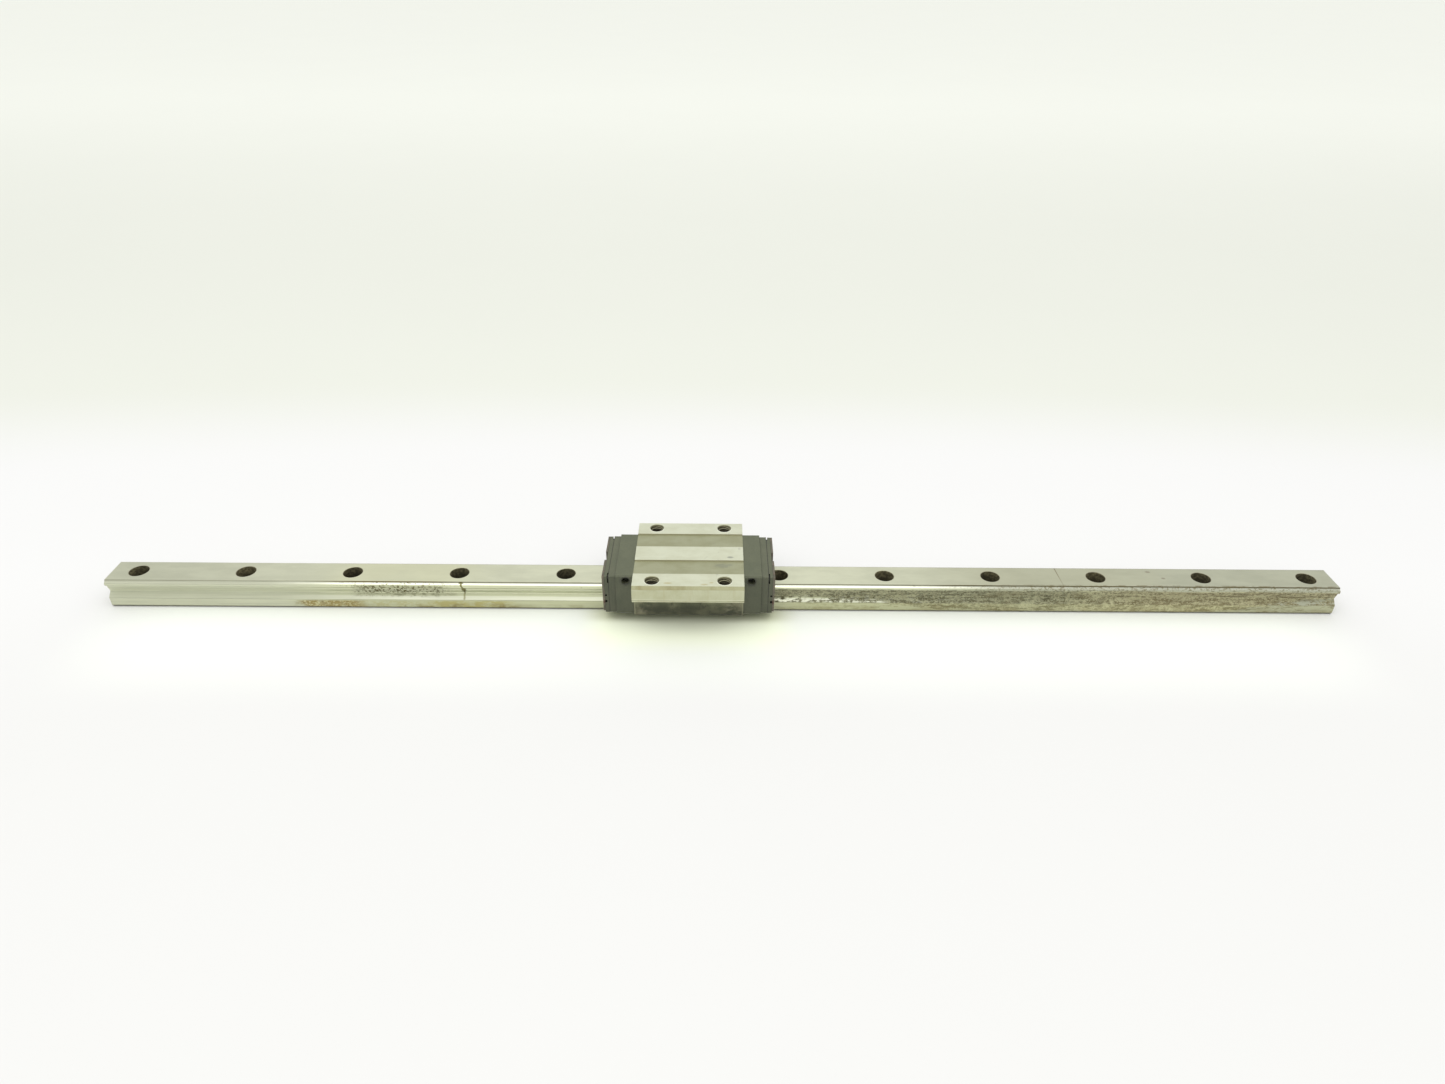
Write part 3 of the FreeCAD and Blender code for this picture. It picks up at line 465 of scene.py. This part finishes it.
def rail_single_marks(g, r, steel):
    """One rusty run, one scribed line, painted shade along the bed, and the sawn ends."""
    x, y, z, side = r.x, r.y, r.z, r.side
    run_x = -197.6
    scribe_x, scribe_lean = 252.1, -0.02
    wobble = g.noise(scale=0.35, stretch=(0, 0.2, 1), shift=(5, 0, 0), detail=3)
    wobble = (wobble - 0.5) * 2.6 + z.step(21.5, 16.0).lerp(1.4, 2.4)
    from_run = abs(x - wobble - run_x)
    wide_parts = z.band(21.6, 22.6, soft=0.3) | z.band(14.5, 17.5, soft=0.8)
    run = from_run.step(1.05, 0.35) | (from_run.step(2.2, 1.0) * wide_parts)
    run = run * z.step(7.6, 8.6) * side
    scribe = abs(x - y * scribe_lean - scribe_x).step(0.55, 0.2)
    scribe = scribe * (r.top | z.step(19.0, 21.0)) * y.step(-10, 11).lerp(0.30, 0.75)
    saw = g.noise(scale=1.0, stretch=(1.0, 0.06, 3.2), shift=(1, 2, 9), detail=4, rough=0.6)
    saw_rust = g.noise(scale=0.22, shift=(8, 5, 3), detail=6, rough=0.7)
    sawn = g.coats(
        srgb(146, 147, 128),
        (saw.step(0.36, 0.68), srgb(176, 177, 156)),
        (saw_rust.step(0.54, 0.66) * 0.55, srgb(132, 116, 78)),
    )
    return g.coats(
        steel,
        (run * z.step(11.5, 15.0).lerp(0.6, 0.92), srgb(98, 92, 44)),
        (scribe, srgb(112, 98, 74)),
        # painted shade: a dark band along the bed for the foot's contact shadow
        (z.step(2.0, 1.0) * side * 0.9, srgb(80, 76, 52)),
        (r.end, sawn),
    )


def rail_bolt_holes(g, r, steel):
    z = r.z
    along = g.math("WRAP", r.x + 6 * BOLT_PITCH, BOLT_PITCH, 0.0) - BOLT_PITCH / 2
    radius = g.hypot(along, r.y)
    r.hole = radius.step(7.12, 7.03) * z.step(22.95, 22.80)
    # some holes are brighter than others along the rail
    by_hole = g.noise(scale=0.013, stretch=(1, 0, 0), shift=(171, 0, 0), detail=1)
    inside = g.coats(
        srgb(60, 56, 38),
        (g.noise(scale=0.5, detail=5).step(0.4, 0.65), srgb(94, 89, 64)),
        # painted shade: darker further down the hole, over the dark oxide
        (z.step(21.0, 12.0), srgb(50, 47, 32)),
    )
    inside = g.gain(inside, by_hole.step(0.46, 0.58).lerp(1.0, 1.9))
    mouth = radius.band(7.05, 7.35, soft=0.08) * r.normal_z.step(0.5, 0.7)
    return g.coats(steel, (r.hole, inside), (mouth * 0.5, srgb(120, 108, 86)))


def rail_material():
    g = Material("rail_ground_steel")
    r = rail_fields(g)
    rail_rust_masks(r, g)
    colour = rail_bands(g, r)
    for layer in (
        rail_lines, rail_rust, rail_top_marks, rail_foot_stains, rail_single_marks, rail_bolt_holes,
    ):
        colour = layer(g, r, colour)
    rusty = r.heavy | (r.pit | (r.stain | r.hole))
    bright = r.polish | r.top
    rough = rusty.lerp(bright.lerp(0.56, r.grind.lerp(0.28, 0.40)), 0.78)
    rough += (r.cloud - 0.5) * 0.16
    metal = rusty.lerp(bright.lerp(0.45, 0.92), 0.12)
    g.bump([
        (r.grind, 0.006),
        ((r.mottle - 0.5) * r.heavy, 0.22),
        ((r.grain - 0.5) * (r.heavy | r.pit), 0.10),
    ], soft=0.22)
    return g.finish(colour, rough, metal)


# ------------------------------------------------------------------ carriage block steel
def flange_hole_radius(g, x, abs_y):
    """Distance from the axis of the nearest threaded hole."""
    return g.hypot(abs(x) - FLANGE_HOLE_X, abs_y - FLANGE_HOLE_Y)


def block_fields(g):
    """The masks and noises that the block's layers share; x is from the carriage centre."""
    b = SimpleNamespace()
    x, b.y, b.z = g.place()
    b.x = x - CARRIAGE_X
    b.abs_y = abs(b.y)
    _, normal_y, b.normal_z = g.normal()
    b.upright = abs(normal_y)
    up = b.normal_z.step(0.9, 0.97)
    b.pad = up * b.z.step(41.7, 41.9)
    b.groove = up * b.z.band(40.9, 41.1, soft=0.3)
    b.wall = (1.0 - up) * b.z.step(40.9, 41.05) * b.abs_y.step(29, 28)
    b.chamfer = b.normal_z.band(0.45, 0.85, soft=0.1)
    b.chamfer = b.chamfer * b.abs_y.step(42.6, 43.0) * b.z.step(39.5, 40.0)
    b.under = b.abs_y.step(31.8, 31.0) * b.z.step(28.6, 28.2)
    b.soffit = b.normal_z.step(-0.85, -0.95) * b.abs_y.step(31.0, 31.5)
    b.channel = b.abs_y.step(21.0, 20.0) * b.z.step(28.4, 28.2)
    b.grind = g.noise(scale=1.0, stretch=(0.05, 6.0, 6.0), detail=3, rough=0.6)
    b.cross = g.noise(scale=1.0, stretch=(4.0, 0.06, 0.3), shift=(3, 3, 3), detail=3, rough=0.6)
    b.cloud = g.noise(scale=0.07, stretch=(1, 1.4, 1), shift=(13, 5, 0), detail=5, rough=0.6)
    b.film = g.noise(scale=0.09, stretch=(0.8, 1, 1.3), shift=(17, 3, 5), detail=6, rough=0.65)
    return b


def block_ground_faces(g, b):
    z, abs_y, cloud, grind = b.z, b.abs_y, b.cloud, b.grind
    pad_steel = g.coats(
        srgb(207, 210, 188),
        (cloud.step(0.35, 0.7), srgb(199, 201, 177)),
        (grind.step(0.4, 0.75) * 0.16, srgb(162, 163, 138)),
    )
    groove_steel = g.coats(
        srgb(149, 150, 120),
        (cloud.step(0.3, 0.7), srgb(138, 139, 108)),
        (grind.step(0.35, 0.7) * 0.3, srgb(118, 118, 92)),
    )
    # painted shade in the crease along the foot of each step
    step_foot = abs_y.band(9.45, 9.95, soft=0.12) | abs_y.band(26.75, 27.2, soft=0.12)
    chamfer_stain = g.noise(
        scale=0.08, stretch=(1, 0.4, 0.4), shift=(2, 7, 1), detail=5, rough=0.65
    )
    chamfer_steel = g.mix(chamfer_stain.step(0.40, 0.62), srgb(150, 150, 120), srgb(136, 133, 102))
    # below the ground side face: a dark line, then a pale unground band
    pale_band = z.step(30.3, 30.1) * abs_y.step(43.0, 43.6)
    pale_steel = g.mix(cloud.step(0.4, 0.6), srgb(188, 190, 160), srgb(172, 172, 142))
    dark_line = z.band(30.05, 30.78, soft=0.1) * abs_y.step(43.5, 44.2)
    return g.coats(
        # painted shade: the side faces get a darker steel than the ground pads
        srgb(177, 179, 152),
        (cloud.step(0.35, 0.7), srgb(167, 168, 138)),
        (b.cross.step(0.4, 0.7) * 0.14, srgb(146, 146, 118)),
        # painted highlight along the lower edge of the ground side face
        (z.band(30.9, 31.4, soft=0.1) * 0.5, srgb(214, 216, 190)),
        (b.pad, pad_steel),
        (b.groove, groove_steel),
        (b.wall, srgb(160, 157, 126)),
        (step_foot * b.groove * 0.35, srgb(122, 118, 90)),
        # the chamfer: darker stained steel, partly painted shade
        (b.chamfer, chamfer_steel),
        (pale_band, pale_steel),
        (dark_line * 0.85, srgb(80, 79, 56)),
    )


def block_underside(g, b, steel):
    """Body under the flanges: black-brown oil film and painted shade, with scraped patches."""
    x, film = b.x, b.film
    spots = g.noise(scale=0.3, stretch=(1, 1, 0.6), shift=(1, 1, 9), detail=5)
    ends = x.step(-38.6, -39.4) | x.step(38.6, 39.4)
    scraped = x.band(-38, -31, soft=2.5) | x.band(27, 38, soft=3)
    # oil film and painted shade under the flanges, darker towards the bottom
    oil_and_shade = g.mix(film.step(0.38, 0.66), srgb(76, 80, 58), srgb(112, 114, 86))
    oil_and_shade = g.gain(oil_and_shade, b.z.step(12.0, 25.0).lerp(0.58, 2.1))
    oil_and_shade = g.coats(
        oil_and_shade,
        (spots.step(0.56, 0.68) * 0.6, srgb(50, 48, 38)),
        (ends * 0.38, srgb(160, 158, 130)),
        (scraped * film.step(0.42, 0.6) * 0.5, srgb(142, 138, 112)),
    )
    return g.coats(
        steel,
        (b.under, oil_and_shade),
        (b.soffit, srgb(120, 116, 92)),
        (b.channel, srgb(84, 80, 62)),
    )


def block_stains(g, b, steel):
    """Stains and rubs on the top and the sides."""
    x, y, z, pad, groove = b.x, b.y, b.z, b.pad, b.groove
    tan_spot = g.spot(x, y, centre=(-14.5, -39.4), radii=(4.2, 1.5)) * pad
    tan_pair = g.spot(x, y, centre=(11.5, -40.8), radii=(3.4, 1.3), seed=4)
    tan_pair |= g.spot(x, y, centre=(16.5, -38.5), radii=(2.2, 1.0), seed=9)
    grey_spot = g.spot(x, y, centre=(30.5, -5.2), radii=(3.2, 1.7), seed=2) * pad
    grey_patch = g.spot(x, y, centre=(24.5, -15.0), radii=(9.0, 4.2), seed=6, ragged=0.6)
    grey_patch *= groove | pad
    drag = g.noise(scale=0.25, stretch=(1, 0.35, 1), shift=(2, 12, 3), detail=4, warp=0.6)
    drag = drag.step(0.62, 0.70) * x.step(2, 22)
    drip = g.noise(scale=0.13, stretch=(1.6, 1, 0.16), shift=(4, 1, 2), detail=4)
    drip = drip.step(0.60, 0.72) * b.upright.step(0.8, 0.95) * b.abs_y.step(44.0, 44.6)
    rim_tan = g.noise(scale=0.09, stretch=(0.5, 1, 1), shift=(9, 21, 2), detail=5)
    rim_tan = rim_tan.step(0.50, 0.72)
    rim_tan *= b.chamfer | (z.step(39.0, 40.2) * b.abs_y.step(44, 44.6))
    return g.coats(
        steel,
        ((tan_spot | (tan_pair * pad)) * 0.6, srgb(176, 164, 116)),
        (grey_spot * 0.7, srgb(132, 134, 126)),
        (grey_patch * 0.62, srgb(112, 118, 110)),
        (drag * (pad | groove) * 0.35, srgb(150, 150, 138)),
        (drip * 0.3, srgb(160, 152, 118)),
        (rim_tan * 0.4, srgb(140, 130, 94)),
    )


def block_flange_holes(g, b, steel):
    y, z = b.y, b.z

    def from_hole_y():
        return y - g.math("SIGN", y) * FLANGE_HOLE_Y

    radius = flange_hole_radius(g, b.x, b.abs_y)
    b.hole = radius.step(5.06, 5.02) * z.step(41.7, 41.5)
    mouth = radius.band(5.03, 5.62, soft=0.03) * z.step(41.3, 41.5) * b.normal_z.step(0.97, 0.88)
    # painted highlight on the near half of the mouth's chamfer, painted shade on the far half
    mouth_lit_and_shaded = g.mix(from_hole_y().step(-2.0, 2.0), srgb(246, 247, 232), srgb(118, 116, 90))
    # painted highlight: a pale lip on the pad just outside the near half of the mouth
    lip = radius.band(5.46, 5.95, soft=0.12) * b.pad * from_hole_y().step(0.5, -3.5)
    return g.coats(
        steel,
        # painted shade: the hole's wall darkens towards the bottom
        (b.hole, g.mix(z.step(38.5, 41.6), srgb(34, 31, 20), srgb(120, 117, 90))),
        (mouth * 0.8, mouth_lit_and_shaded),
        (lip * 0.8, srgb(240, 242, 226)),
    )


def block_material():
    g = Material("carriage_block_steel")
    b = block_fields(g)
    colour = block_ground_faces(g, b)
    for layer in (block_underside, block_stains, block_flange_holes):
        colour = layer(g, b, colour)
    dark = b.under | (b.hole | (b.channel | b.soffit))
    rough = b.grind.lerp(0.32, 0.44) + (b.groove | b.chamfer) * 0.12
    g.bump([
        (b.grind, 0.005),
        (b.cross * b.upright.step(0.8, 0.95), 0.004),
        (b.film * b.under, 0.08),
    ], soft=0.25)
    return g.finish(colour, rough=dark.lerp(rough, 0.62), metal=dark.lerp(0.9, 0.35))


# ------------------------------------------------------------------ moulded plastics
def port_detail(g, colour, upright, patches):
    """The round ports in the end cap's sides, with painted shade inside them and on their chamfers,
    and the oil about them.
    """
    port_x, port_z = 45.5, 36.4
    x, y, z = g.place()
    abs_y = abs(y)
    radius = g.hypot(abs(x - CARRIAGE_X) - port_x, z - port_z)
    inside = radius.step(3.05, 2.85) * abs_y.step(22.0, 22.4) * abs_y.step(28.99, 28.9)
    rim = radius.step(3.75, 3.1) * abs_y.step(28.0, 28.4)
    oily = radius.step(5.4, 2.9) * upright.step(0.7, 0.95)
    return g.coats(
        colour,
        # painted shade inside the port, darker deeper in
        (inside, g.mix(abs_y.step(24.5, 28.5), srgb(64, 66, 52), srgb(84, 86, 68))),
        # painted shade on the port's chamfer
        (rim * 0.9, srgb(40, 42, 30)),
        (oily * patches.lerp(0.5, 1.0) * 0.6, srgb(40, 42, 30)),
    )


def seam_detail(g, colour, upright, patches):
    """Dark seams around the seal frame as painted shade in the gaps, and the pockets and slots in
    the outer seal filled with painted shade.
    """
    x, y, z = g.place()
    abs_x, abs_y = abs(x - CARRIAGE_X), abs(y)
    # painted shade in the gaps between the cap, the seal frame and the outer seal
    seam = g.noise(scale=0.35, detail=4).step(0.35, 0.6).lerp(0.85, 1.15)
    seam = abs_x.band(57.78, 58.30, soft=0.10) * seam
    seam |= abs_x.band(52.8, 53.2, soft=0.12) * 0.6
    seam |= abs_x.band(60.95, 61.5, soft=0.1) * 0.9
    # painted shade: the pockets and slots are filled with near-black
    deep = abs_x.band(58.0, 61.25, soft=0.05) * abs_y.step(27.55, 27.3) * abs_y.step(22.0, 22.5)
    pocket = z.band(16.5, 18.7, soft=0.05) | z.band(22.1, 23.7, soft=0.05)
    slot = (abs_y.step(25.7, 25.9) * z.step(33.6, 33.8)) | z.step(38.2, 38.36)
    slot = slot * abs_x.step(59.1, 58.9) * z.step(39.3, 39.2)
    rubs = g.noise(scale=1.0, stretch=(2.4, 0.04, 0.25), shift=(6, 1, 1), detail=3)
    return g.coats(
        colour,
        (seam * 0.88, srgb(33, 32, 22)),
        (deep * (pocket | slot), srgb(14, 14, 11)),
        (rubs.step(0.50, 0.68) * 0.30, 0.70),
    )


def edge_highlight_and_side_shade(g, colour, light, upright):
    """Painted highlight along the edges, and painted shade that darkens the upright faces."""
    flat_normal = g.field("NewGeometry", output="Normal")
    edge = g.field(
        "VectorMath", {0: g.bevel(0.7), 1: flat_normal}, output="Value", operation="DOT_PRODUCT"
    )
    # painted highlight along the edges
    painted_light = edge.step(0.985, 0.90)
    painted_light *= g.noise(scale=0.6, detail=4, shift=(4, 4, 4)).step(0.40, 0.60)
    return g.coats(
        colour,
        (painted_light * 0.72, g.gain(light, 1.5)),
        # painted shade on the upright faces
        (upright.step(0.55, 0.85) * 0.75, 0.69),
    )


def plastic_material(name, base, light, dark, painted_light=True, detail=None):
    g = Material(name)
    upright = abs(g.normal()[1])
    fine = g.noise(scale=6.0, detail=3, rough=0.6)
    patches = g.noise(scale=0.7, shift=(3, 1, 7), detail=5, rough=0.65)
    cloud = g.noise(scale=0.07, stretch=(1.5, 1, 0.8), shift=(9, 2, 4), detail=5, rough=0.6)
    rub = g.noise(scale=0.16, stretch=(1.4, 0.5, 0.35), shift=(5, 31, 8), detail=5, rough=0.65)
    stroke = g.noise(scale=1.0, stretch=(1.1, 1.1, 0.05), shift=(2, 2, 2), detail=3)
    speck = g.cells(scale=0.55, shift=(8, 8, 8))
    scratch = g.noise(
        scale=1.0, stretch=(0.10, 2.6, 1.2), shift=(17, 3, 3), detail=2, warp=0.4
    )
    colour = g.coats(
        base,
        (cloud.step(0.32, 0.70), light),
        (patches.step(0.5, 0.75) * 0.35, dark),
        (rub.step(0.52, 0.74) * 0.30, light),
        (stroke.step(0.56, 0.70) * upright.step(0.6, 0.9) * 0.28, dark),
        (speck.step(0.10, 0.04) * patches.step(0.5, 0.6) * 0.6, dark),
        (scratch.step(0.665, 0.69) * 0.35, g.gain(light, 1.35)),
    )
    # painted highlight on the edges and painted shade on the upright faces
    if painted_light:
        colour = edge_highlight_and_side_shade(g, colour, light, upright)
    if detail:
        colour = detail(g, colour, upright, patches)
    g.bump([(fine, 0.05), (patches, 0.03), (cloud, 0.05)], soft=0.3)
    return g.finish(colour, rough=0.46 + (cloud - 0.5) * 0.22, specular=0.42)


# ------------------------------------------------------------------ small parts
def scraper_material():
    g = Material("scraper_sheet_steel")
    _, y, z = g.place()
    cloud = g.noise(scale=0.12, shift=(5, 4, 3), detail=6, rough=0.65)
    fine = g.noise(scale=2.5, stretch=(1, 1, 0.3), detail=4, rough=0.65)
    rust = g.noise(scale=0.35, stretch=(1, 1, 0.7), shift=(6, 1, 9), detail=6, rough=0.7)
    low = z.band(15.4, 19.0, soft=0.8) * abs(y).step(25.0, 26.4)
    colour = g.coats(
        srgb(84, 82, 68),
        (cloud.step(0.35, 0.68), srgb(104, 98, 84)),
        (fine.step(0.5, 0.7) * 0.35, srgb(88, 86, 76)),
        (rust.step(0.54, 0.66) * 0.55, srgb(128, 100, 84)),
        (low * fine.step(0.35, 0.6) * 0.8, srgb(88, 54, 44)),
    )
    g.bump([(fine, 0.02), (cloud, 0.05)], soft=0.2)
    return g.finish(colour, rough=0.48 + (fine - 0.5) * 0.3, metal=0.45)


def metal_material(name, base, other, rough, metal, scale, grain=0.01):
    g = Material(name)
    patches = g.noise(scale=0.5 * scale, detail=5, rough=0.65)
    fine = g.noise(scale=3.0 * scale, shift=(4, 2, 1), detail=4, rough=0.6)
    colour = g.coats(
        base,
        (patches.step(0.38, 0.66), other),
        (fine.step(0.55, 0.72) * 0.3, g.gain(other, 0.6)),
    )
    g.bump([(fine, grain), (patches, grain * 2)], soft=0.15)
    return g.finish(colour, rough + (fine - 0.5) * 0.2, metal)


def rubber_material():
    g = Material("seal_rubber")
    patches = g.noise(scale=0.4, detail=5)
    fine = g.noise(scale=5.0, shift=(4, 2, 1), detail=3)
    dust = g.noise(scale=0.2, stretch=(0.4, 1, 1), shift=(7, 7, 2), detail=5)
    colour = g.coats(
        srgb(44, 44, 42),
        (patches.step(0.4, 0.7), srgb(66, 64, 58)),
        (dust.step(0.52, 0.72) * 0.3, srgb(104, 100, 84)),
    )
    g.bump([(fine, 0.02), (patches, 0.05)], soft=0.1)
    return g.finish(colour, rough=0.6 + (patches - 0.5) * 0.2, specular=0.35)


def thread_material():
    g = Material("thread_steel")
    x, y, z = g.place()
    radius = flange_hole_radius(g, x - CARRIAGE_X, abs(y))
    grit = g.noise(scale=0.9, detail=5, rough=0.7)
    # painted light and shade: light crests, dark roots, and both darker deeper in the hole
    height = z.step(37.5, 41.4)
    crest = g.mix(height, srgb(60, 56, 38), srgb(168, 165, 134))
    root = g.mix(height, srgb(26, 24, 15), srgb(88, 84, 58))
    colour = g.coats(
        crest,
        (radius.step(4.45, 4.85), root),
        (grit.step(0.5, 0.7) * 0.4, srgb(72, 64, 44)),
    )
    g.bump([(grit, 0.02)])
    return g.finish(colour, rough=0.42 + (grit - 0.5) * 0.2, metal=0.6)


def floor_material():
    g = Material("paper_floor")
    x, y, _ = g.place()
    soft = g.noise(scale=0.004, detail=3)
    fibre = g.noise(scale=1.6, detail=3, rough=0.6)
    # warmer and lighter along the front of the rail, painted light; in the carriage's shade,
    # painted light just in front of it and painted shadow under it
    # painted light: the floor is lighter in front of the rail
    lane = y.step(24, 12) * y.step(-130, -40) * x.band(-440, 440, soft=45)
    close = x.band(CARRIAGE_X - 72, CARRIAGE_X + 72, soft=14) * y.step(-72, -44)
    # painted shadow under the carriage's front, painted light just in front of it
    shade = g.mix(y.step(-32, -22), srgb(239, 244, 222), srgb(214, 218, 190))
    far = g.math("SQRT", x * x * 0.08 + (y + 120.0) * (y + 120.0))
    colour = g.coats(
        srgb(214, 214, 213),
        (y.step(-160, 40), srgb(218, 218, 218)),
        (lane, g.mix(close, srgb(229, 232, 226), shade)),
        (far.step(360, 560), g.mix(far.step(700, 2900), srgb(211, 213, 205), srgb(230, 232, 225))),
        (soft.step(0.3, 0.8) * 0.35, 0.985),
        (fibre.step(0.55, 0.8) * 0.05, 0.93),
    )
    # only the view of the paper is tinted; the light it throws back stays neutral
    seen = g.field("LightPath", output="Is Camera Ray")
    colour = g.mix(seen, srgb(250, 250, 248), colour)
    g.bump([(fibre, 0.01)])
    return g.finish(colour, rough=0.85, specular=0.2)


def dress_parts():
    """Gives every CAD piece the material of its slot."""
    cap = plastic_material(
        "end_cap_plastic", base=srgb(75, 80, 58), light=srgb(84, 88, 66), dark=srgb(55, 60, 39),
        detail=port_detail,
    )
    seal_frame = plastic_material(
        "seal_frame_plastic", base=srgb(74, 79, 57), light=srgb(84, 87, 66),
        dark=srgb(53, 58, 38), detail=seam_detail,
    )
    retainer = plastic_material(
        "retainer_plastic", base=srgb(214, 211, 196), light=srgb(226, 223, 210),
        dark=srgb(176, 170, 148), painted_light=False,
    )
    looks = {
        "rail_steel": rail_material(),
        "block_steel": block_material(),
        "cap_plastic": cap,
        "seal_frame_plastic": seal_frame,
        "white_plastic": retainer,
        "seal_rubber": rubber_material(),
        "scraper_steel": scraper_material(),
        "screw_steel": metal_material(
            "black_screw_steel", base=srgb(58, 57, 54), other=srgb(82, 78, 70),
            rough=0.42, metal=0.8, scale=1.5,
        ),
        "ball_steel": metal_material(
            "ball_steel", base=srgb(226, 226, 224), other=srgb(214, 214, 211),
            rough=0.12, metal=1.0, scale=0.6, grain=0.001,
        ),
    }
    slots = {part["node"]: part["material_slot"] for part in frame["record"]["subparts"]}
    for name, obj in frame["nodes"].items():
        material = looks[slots[name]]
        if not obj.material_slots:
            obj.data.materials.append(material)
        for slot in obj.material_slots:
            slot.material = material


# ------------------------------------------------------------------ flange threads
THREAD_BOTTOM, THREAD_TOP = 28.9, 41.5
THREAD_CREST_RADIUS = 4.22
THREAD_PITCH = 1.5
THREAD_ROOT = THREAD_PITCH * 0.46  # half the ridge's height along Z at the wall
THREAD_FLAT = THREAD_PITCH * 0.07  # and at the crest
THREAD_BURIED = 0.02  # how far the root sinks into the wall
FADE_TURNS = 0.5  # run-out at both ends
SEGMENTS_PER_TURN = 48


def add_thread(verts, faces, centre_x, centre_y):
    """A thread's ridge inside a round hole: root on the wall, crest inward."""
    turns = (THREAD_TOP - THREAD_BOTTOM - 2 * THREAD_ROOT) / THREAD_PITCH
    segments = int(turns * SEGMENTS_PER_TURN)
    first = len(verts)
    wall = FLANGE_HOLE_RADIUS + THREAD_BURIED
    for i in range(segments + 1):
        turn = i / SEGMENTS_PER_TURN
        angle = 2 * math.pi * turn
        z = THREAD_BOTTOM + THREAD_ROOT + THREAD_PITCH * turn
        fade = max(0.02, min(1.0, turn / FADE_TURNS, (turns - turn) / FADE_TURNS))
        crest = FLANGE_HOLE_RADIUS - (FLANGE_HOLE_RADIUS - THREAD_CREST_RADIUS) * fade
        root = THREAD_ROOT * (0.25 + 0.75 * fade)
        flat = THREAD_FLAT * fade
        for radius, rise in ((wall, -root), (crest, -flat), (crest, flat), (wall, root)):
            x = centre_x + radius * math.cos(angle)
            y = centre_y + radius * math.sin(angle)
            verts.append((x / MM_PER_M, y / MM_PER_M, (z + rise) / MM_PER_M))
        if i:
            here = first + 4 * i
            back = here - 4
            for k in range(4):
                after = (k + 1) % 4
                faces.append((back + k, here + k, here + after, back + after))
    faces.append((first + 3, first + 2, first + 1, first))
    last = first + 4 * segments
    faces.append((last, last + 1, last + 2, last + 3))


def add_object(name, verts, faces, material):
    mesh = bpy.data.meshes.new(name)
    mesh.from_pydata(verts, [], faces)
    mesh.update()
    obj = bpy.data.objects.new(name, mesh)
    bpy.context.scene.collection.objects.link(obj)
    mesh.materials.append(material)
    return obj


def build_threads():
    material = thread_material()
    verts, faces = [], []
    for side_x in (-1, 1):
        for side_y in (-1, 1):
            centre_x = CARRIAGE_X + side_x * FLANGE_HOLE_X
            add_thread(verts, faces, centre_x, side_y * FLANGE_HOLE_Y)
    threads = add_object("flange_threads", verts, faces, material)
    bm = bmesh.new()
    bm.from_mesh(threads.data)
    bmesh.ops.recalc_face_normals(bm, faces=bm.faces)
    bm.to_mesh(threads.data)
    bm.free()
    for polygon in threads.data.polygons:
        polygon.use_smooth = False
    threads.data.update()
    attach(threads, "carriage")


# ------------------------------------------------------------------ stage, light, camera
def build_floor():
    half, centre_y, z = 30.0, 20.0, -0.0001
    near, far = centre_y - half, centre_y + half
    corners = [(-half, near, z), (half, near, z), (half, far, z), (-half, far, z)]
    add_object("floor", corners, [(0, 1, 2, 3)], floor_material())


def build_softbox():
    location = Vector((-0.1, -0.75, 2.1))
    light = bpy.data.lights.new("overhead_softbox", "AREA")
    light.shape = "RECTANGLE"
    light.size, light.size_y = 3.2, 2.2
    light.energy = 22.0
    light.color = (1.0, 1.0, 0.985)
    softbox = bpy.data.objects.new("overhead_softbox", light)
    softbox.location = location
    # aimed at the origin
    softbox.rotation_euler = (-location).to_track_quat("-Z", "Y").to_euler()
    bpy.context.scene.collection.objects.link(softbox)


def build_world():
    """A pale tent: brightest overhead, a little darker at the horizon and behind the camera."""
    world = bpy.data.worlds.new("studio")
    bpy.context.scene.world = world
    world.use_nodes = True
    g = Graph(world.node_tree)
    _, y, z = g.split(g.field("TexCoord", output="Generated"))
    rise = z.remap(0.0, 0.9, to_low=0.74, to_high=1.30, interpolation="LINEAR")
    front = y.remap(-0.95, -0.35, to_low=0.80, to_high=1.0)
    tent = g.field("Background", {0: (1.0, 1.0, 0.985), 1: rise * front})
    seen = g.field("Background", {0: srgb(252, 252, 249)})
    to_camera = g.field("LightPath", output="Is Camera Ray")
    g.node("OutputWorld", {0: g.field("MixShader", {0: to_camera, 1: tent, 2: seen})})


def build_camera():
    data = bpy.data.cameras.new("camera")
    data.sensor_fit = "HORIZONTAL"
    data.sensor_width = 36.0
    data.lens = 24.199723
    data.shift_y = 0.00048442907
    data.clip_start = 0.01
    data.clip_end = 200.0
    camera = bpy.data.objects.new("camera", data)
    right = Vector((0.9999398, -0.0033373, 0.010449))
    down = Vector((0.0070798, -0.5312412, -0.8471911))
    ahead = Vector((0.0083783, 0.8472141, -0.5311856))
    turn = Matrix((right, -down, -ahead)).transposed().to_4x4()
    camera.matrix_world = Matrix.Translation((-0.008541, -0.607767, 0.432537)) @ turn
    bpy.context.scene.collection.objects.link(camera)
    bpy.context.scene.camera = camera
    bpy.context.scene.view_settings.view_transform = "Standard"


dress_parts()
build_threads()
build_floor()
build_softbox()
build_world()
build_camera()
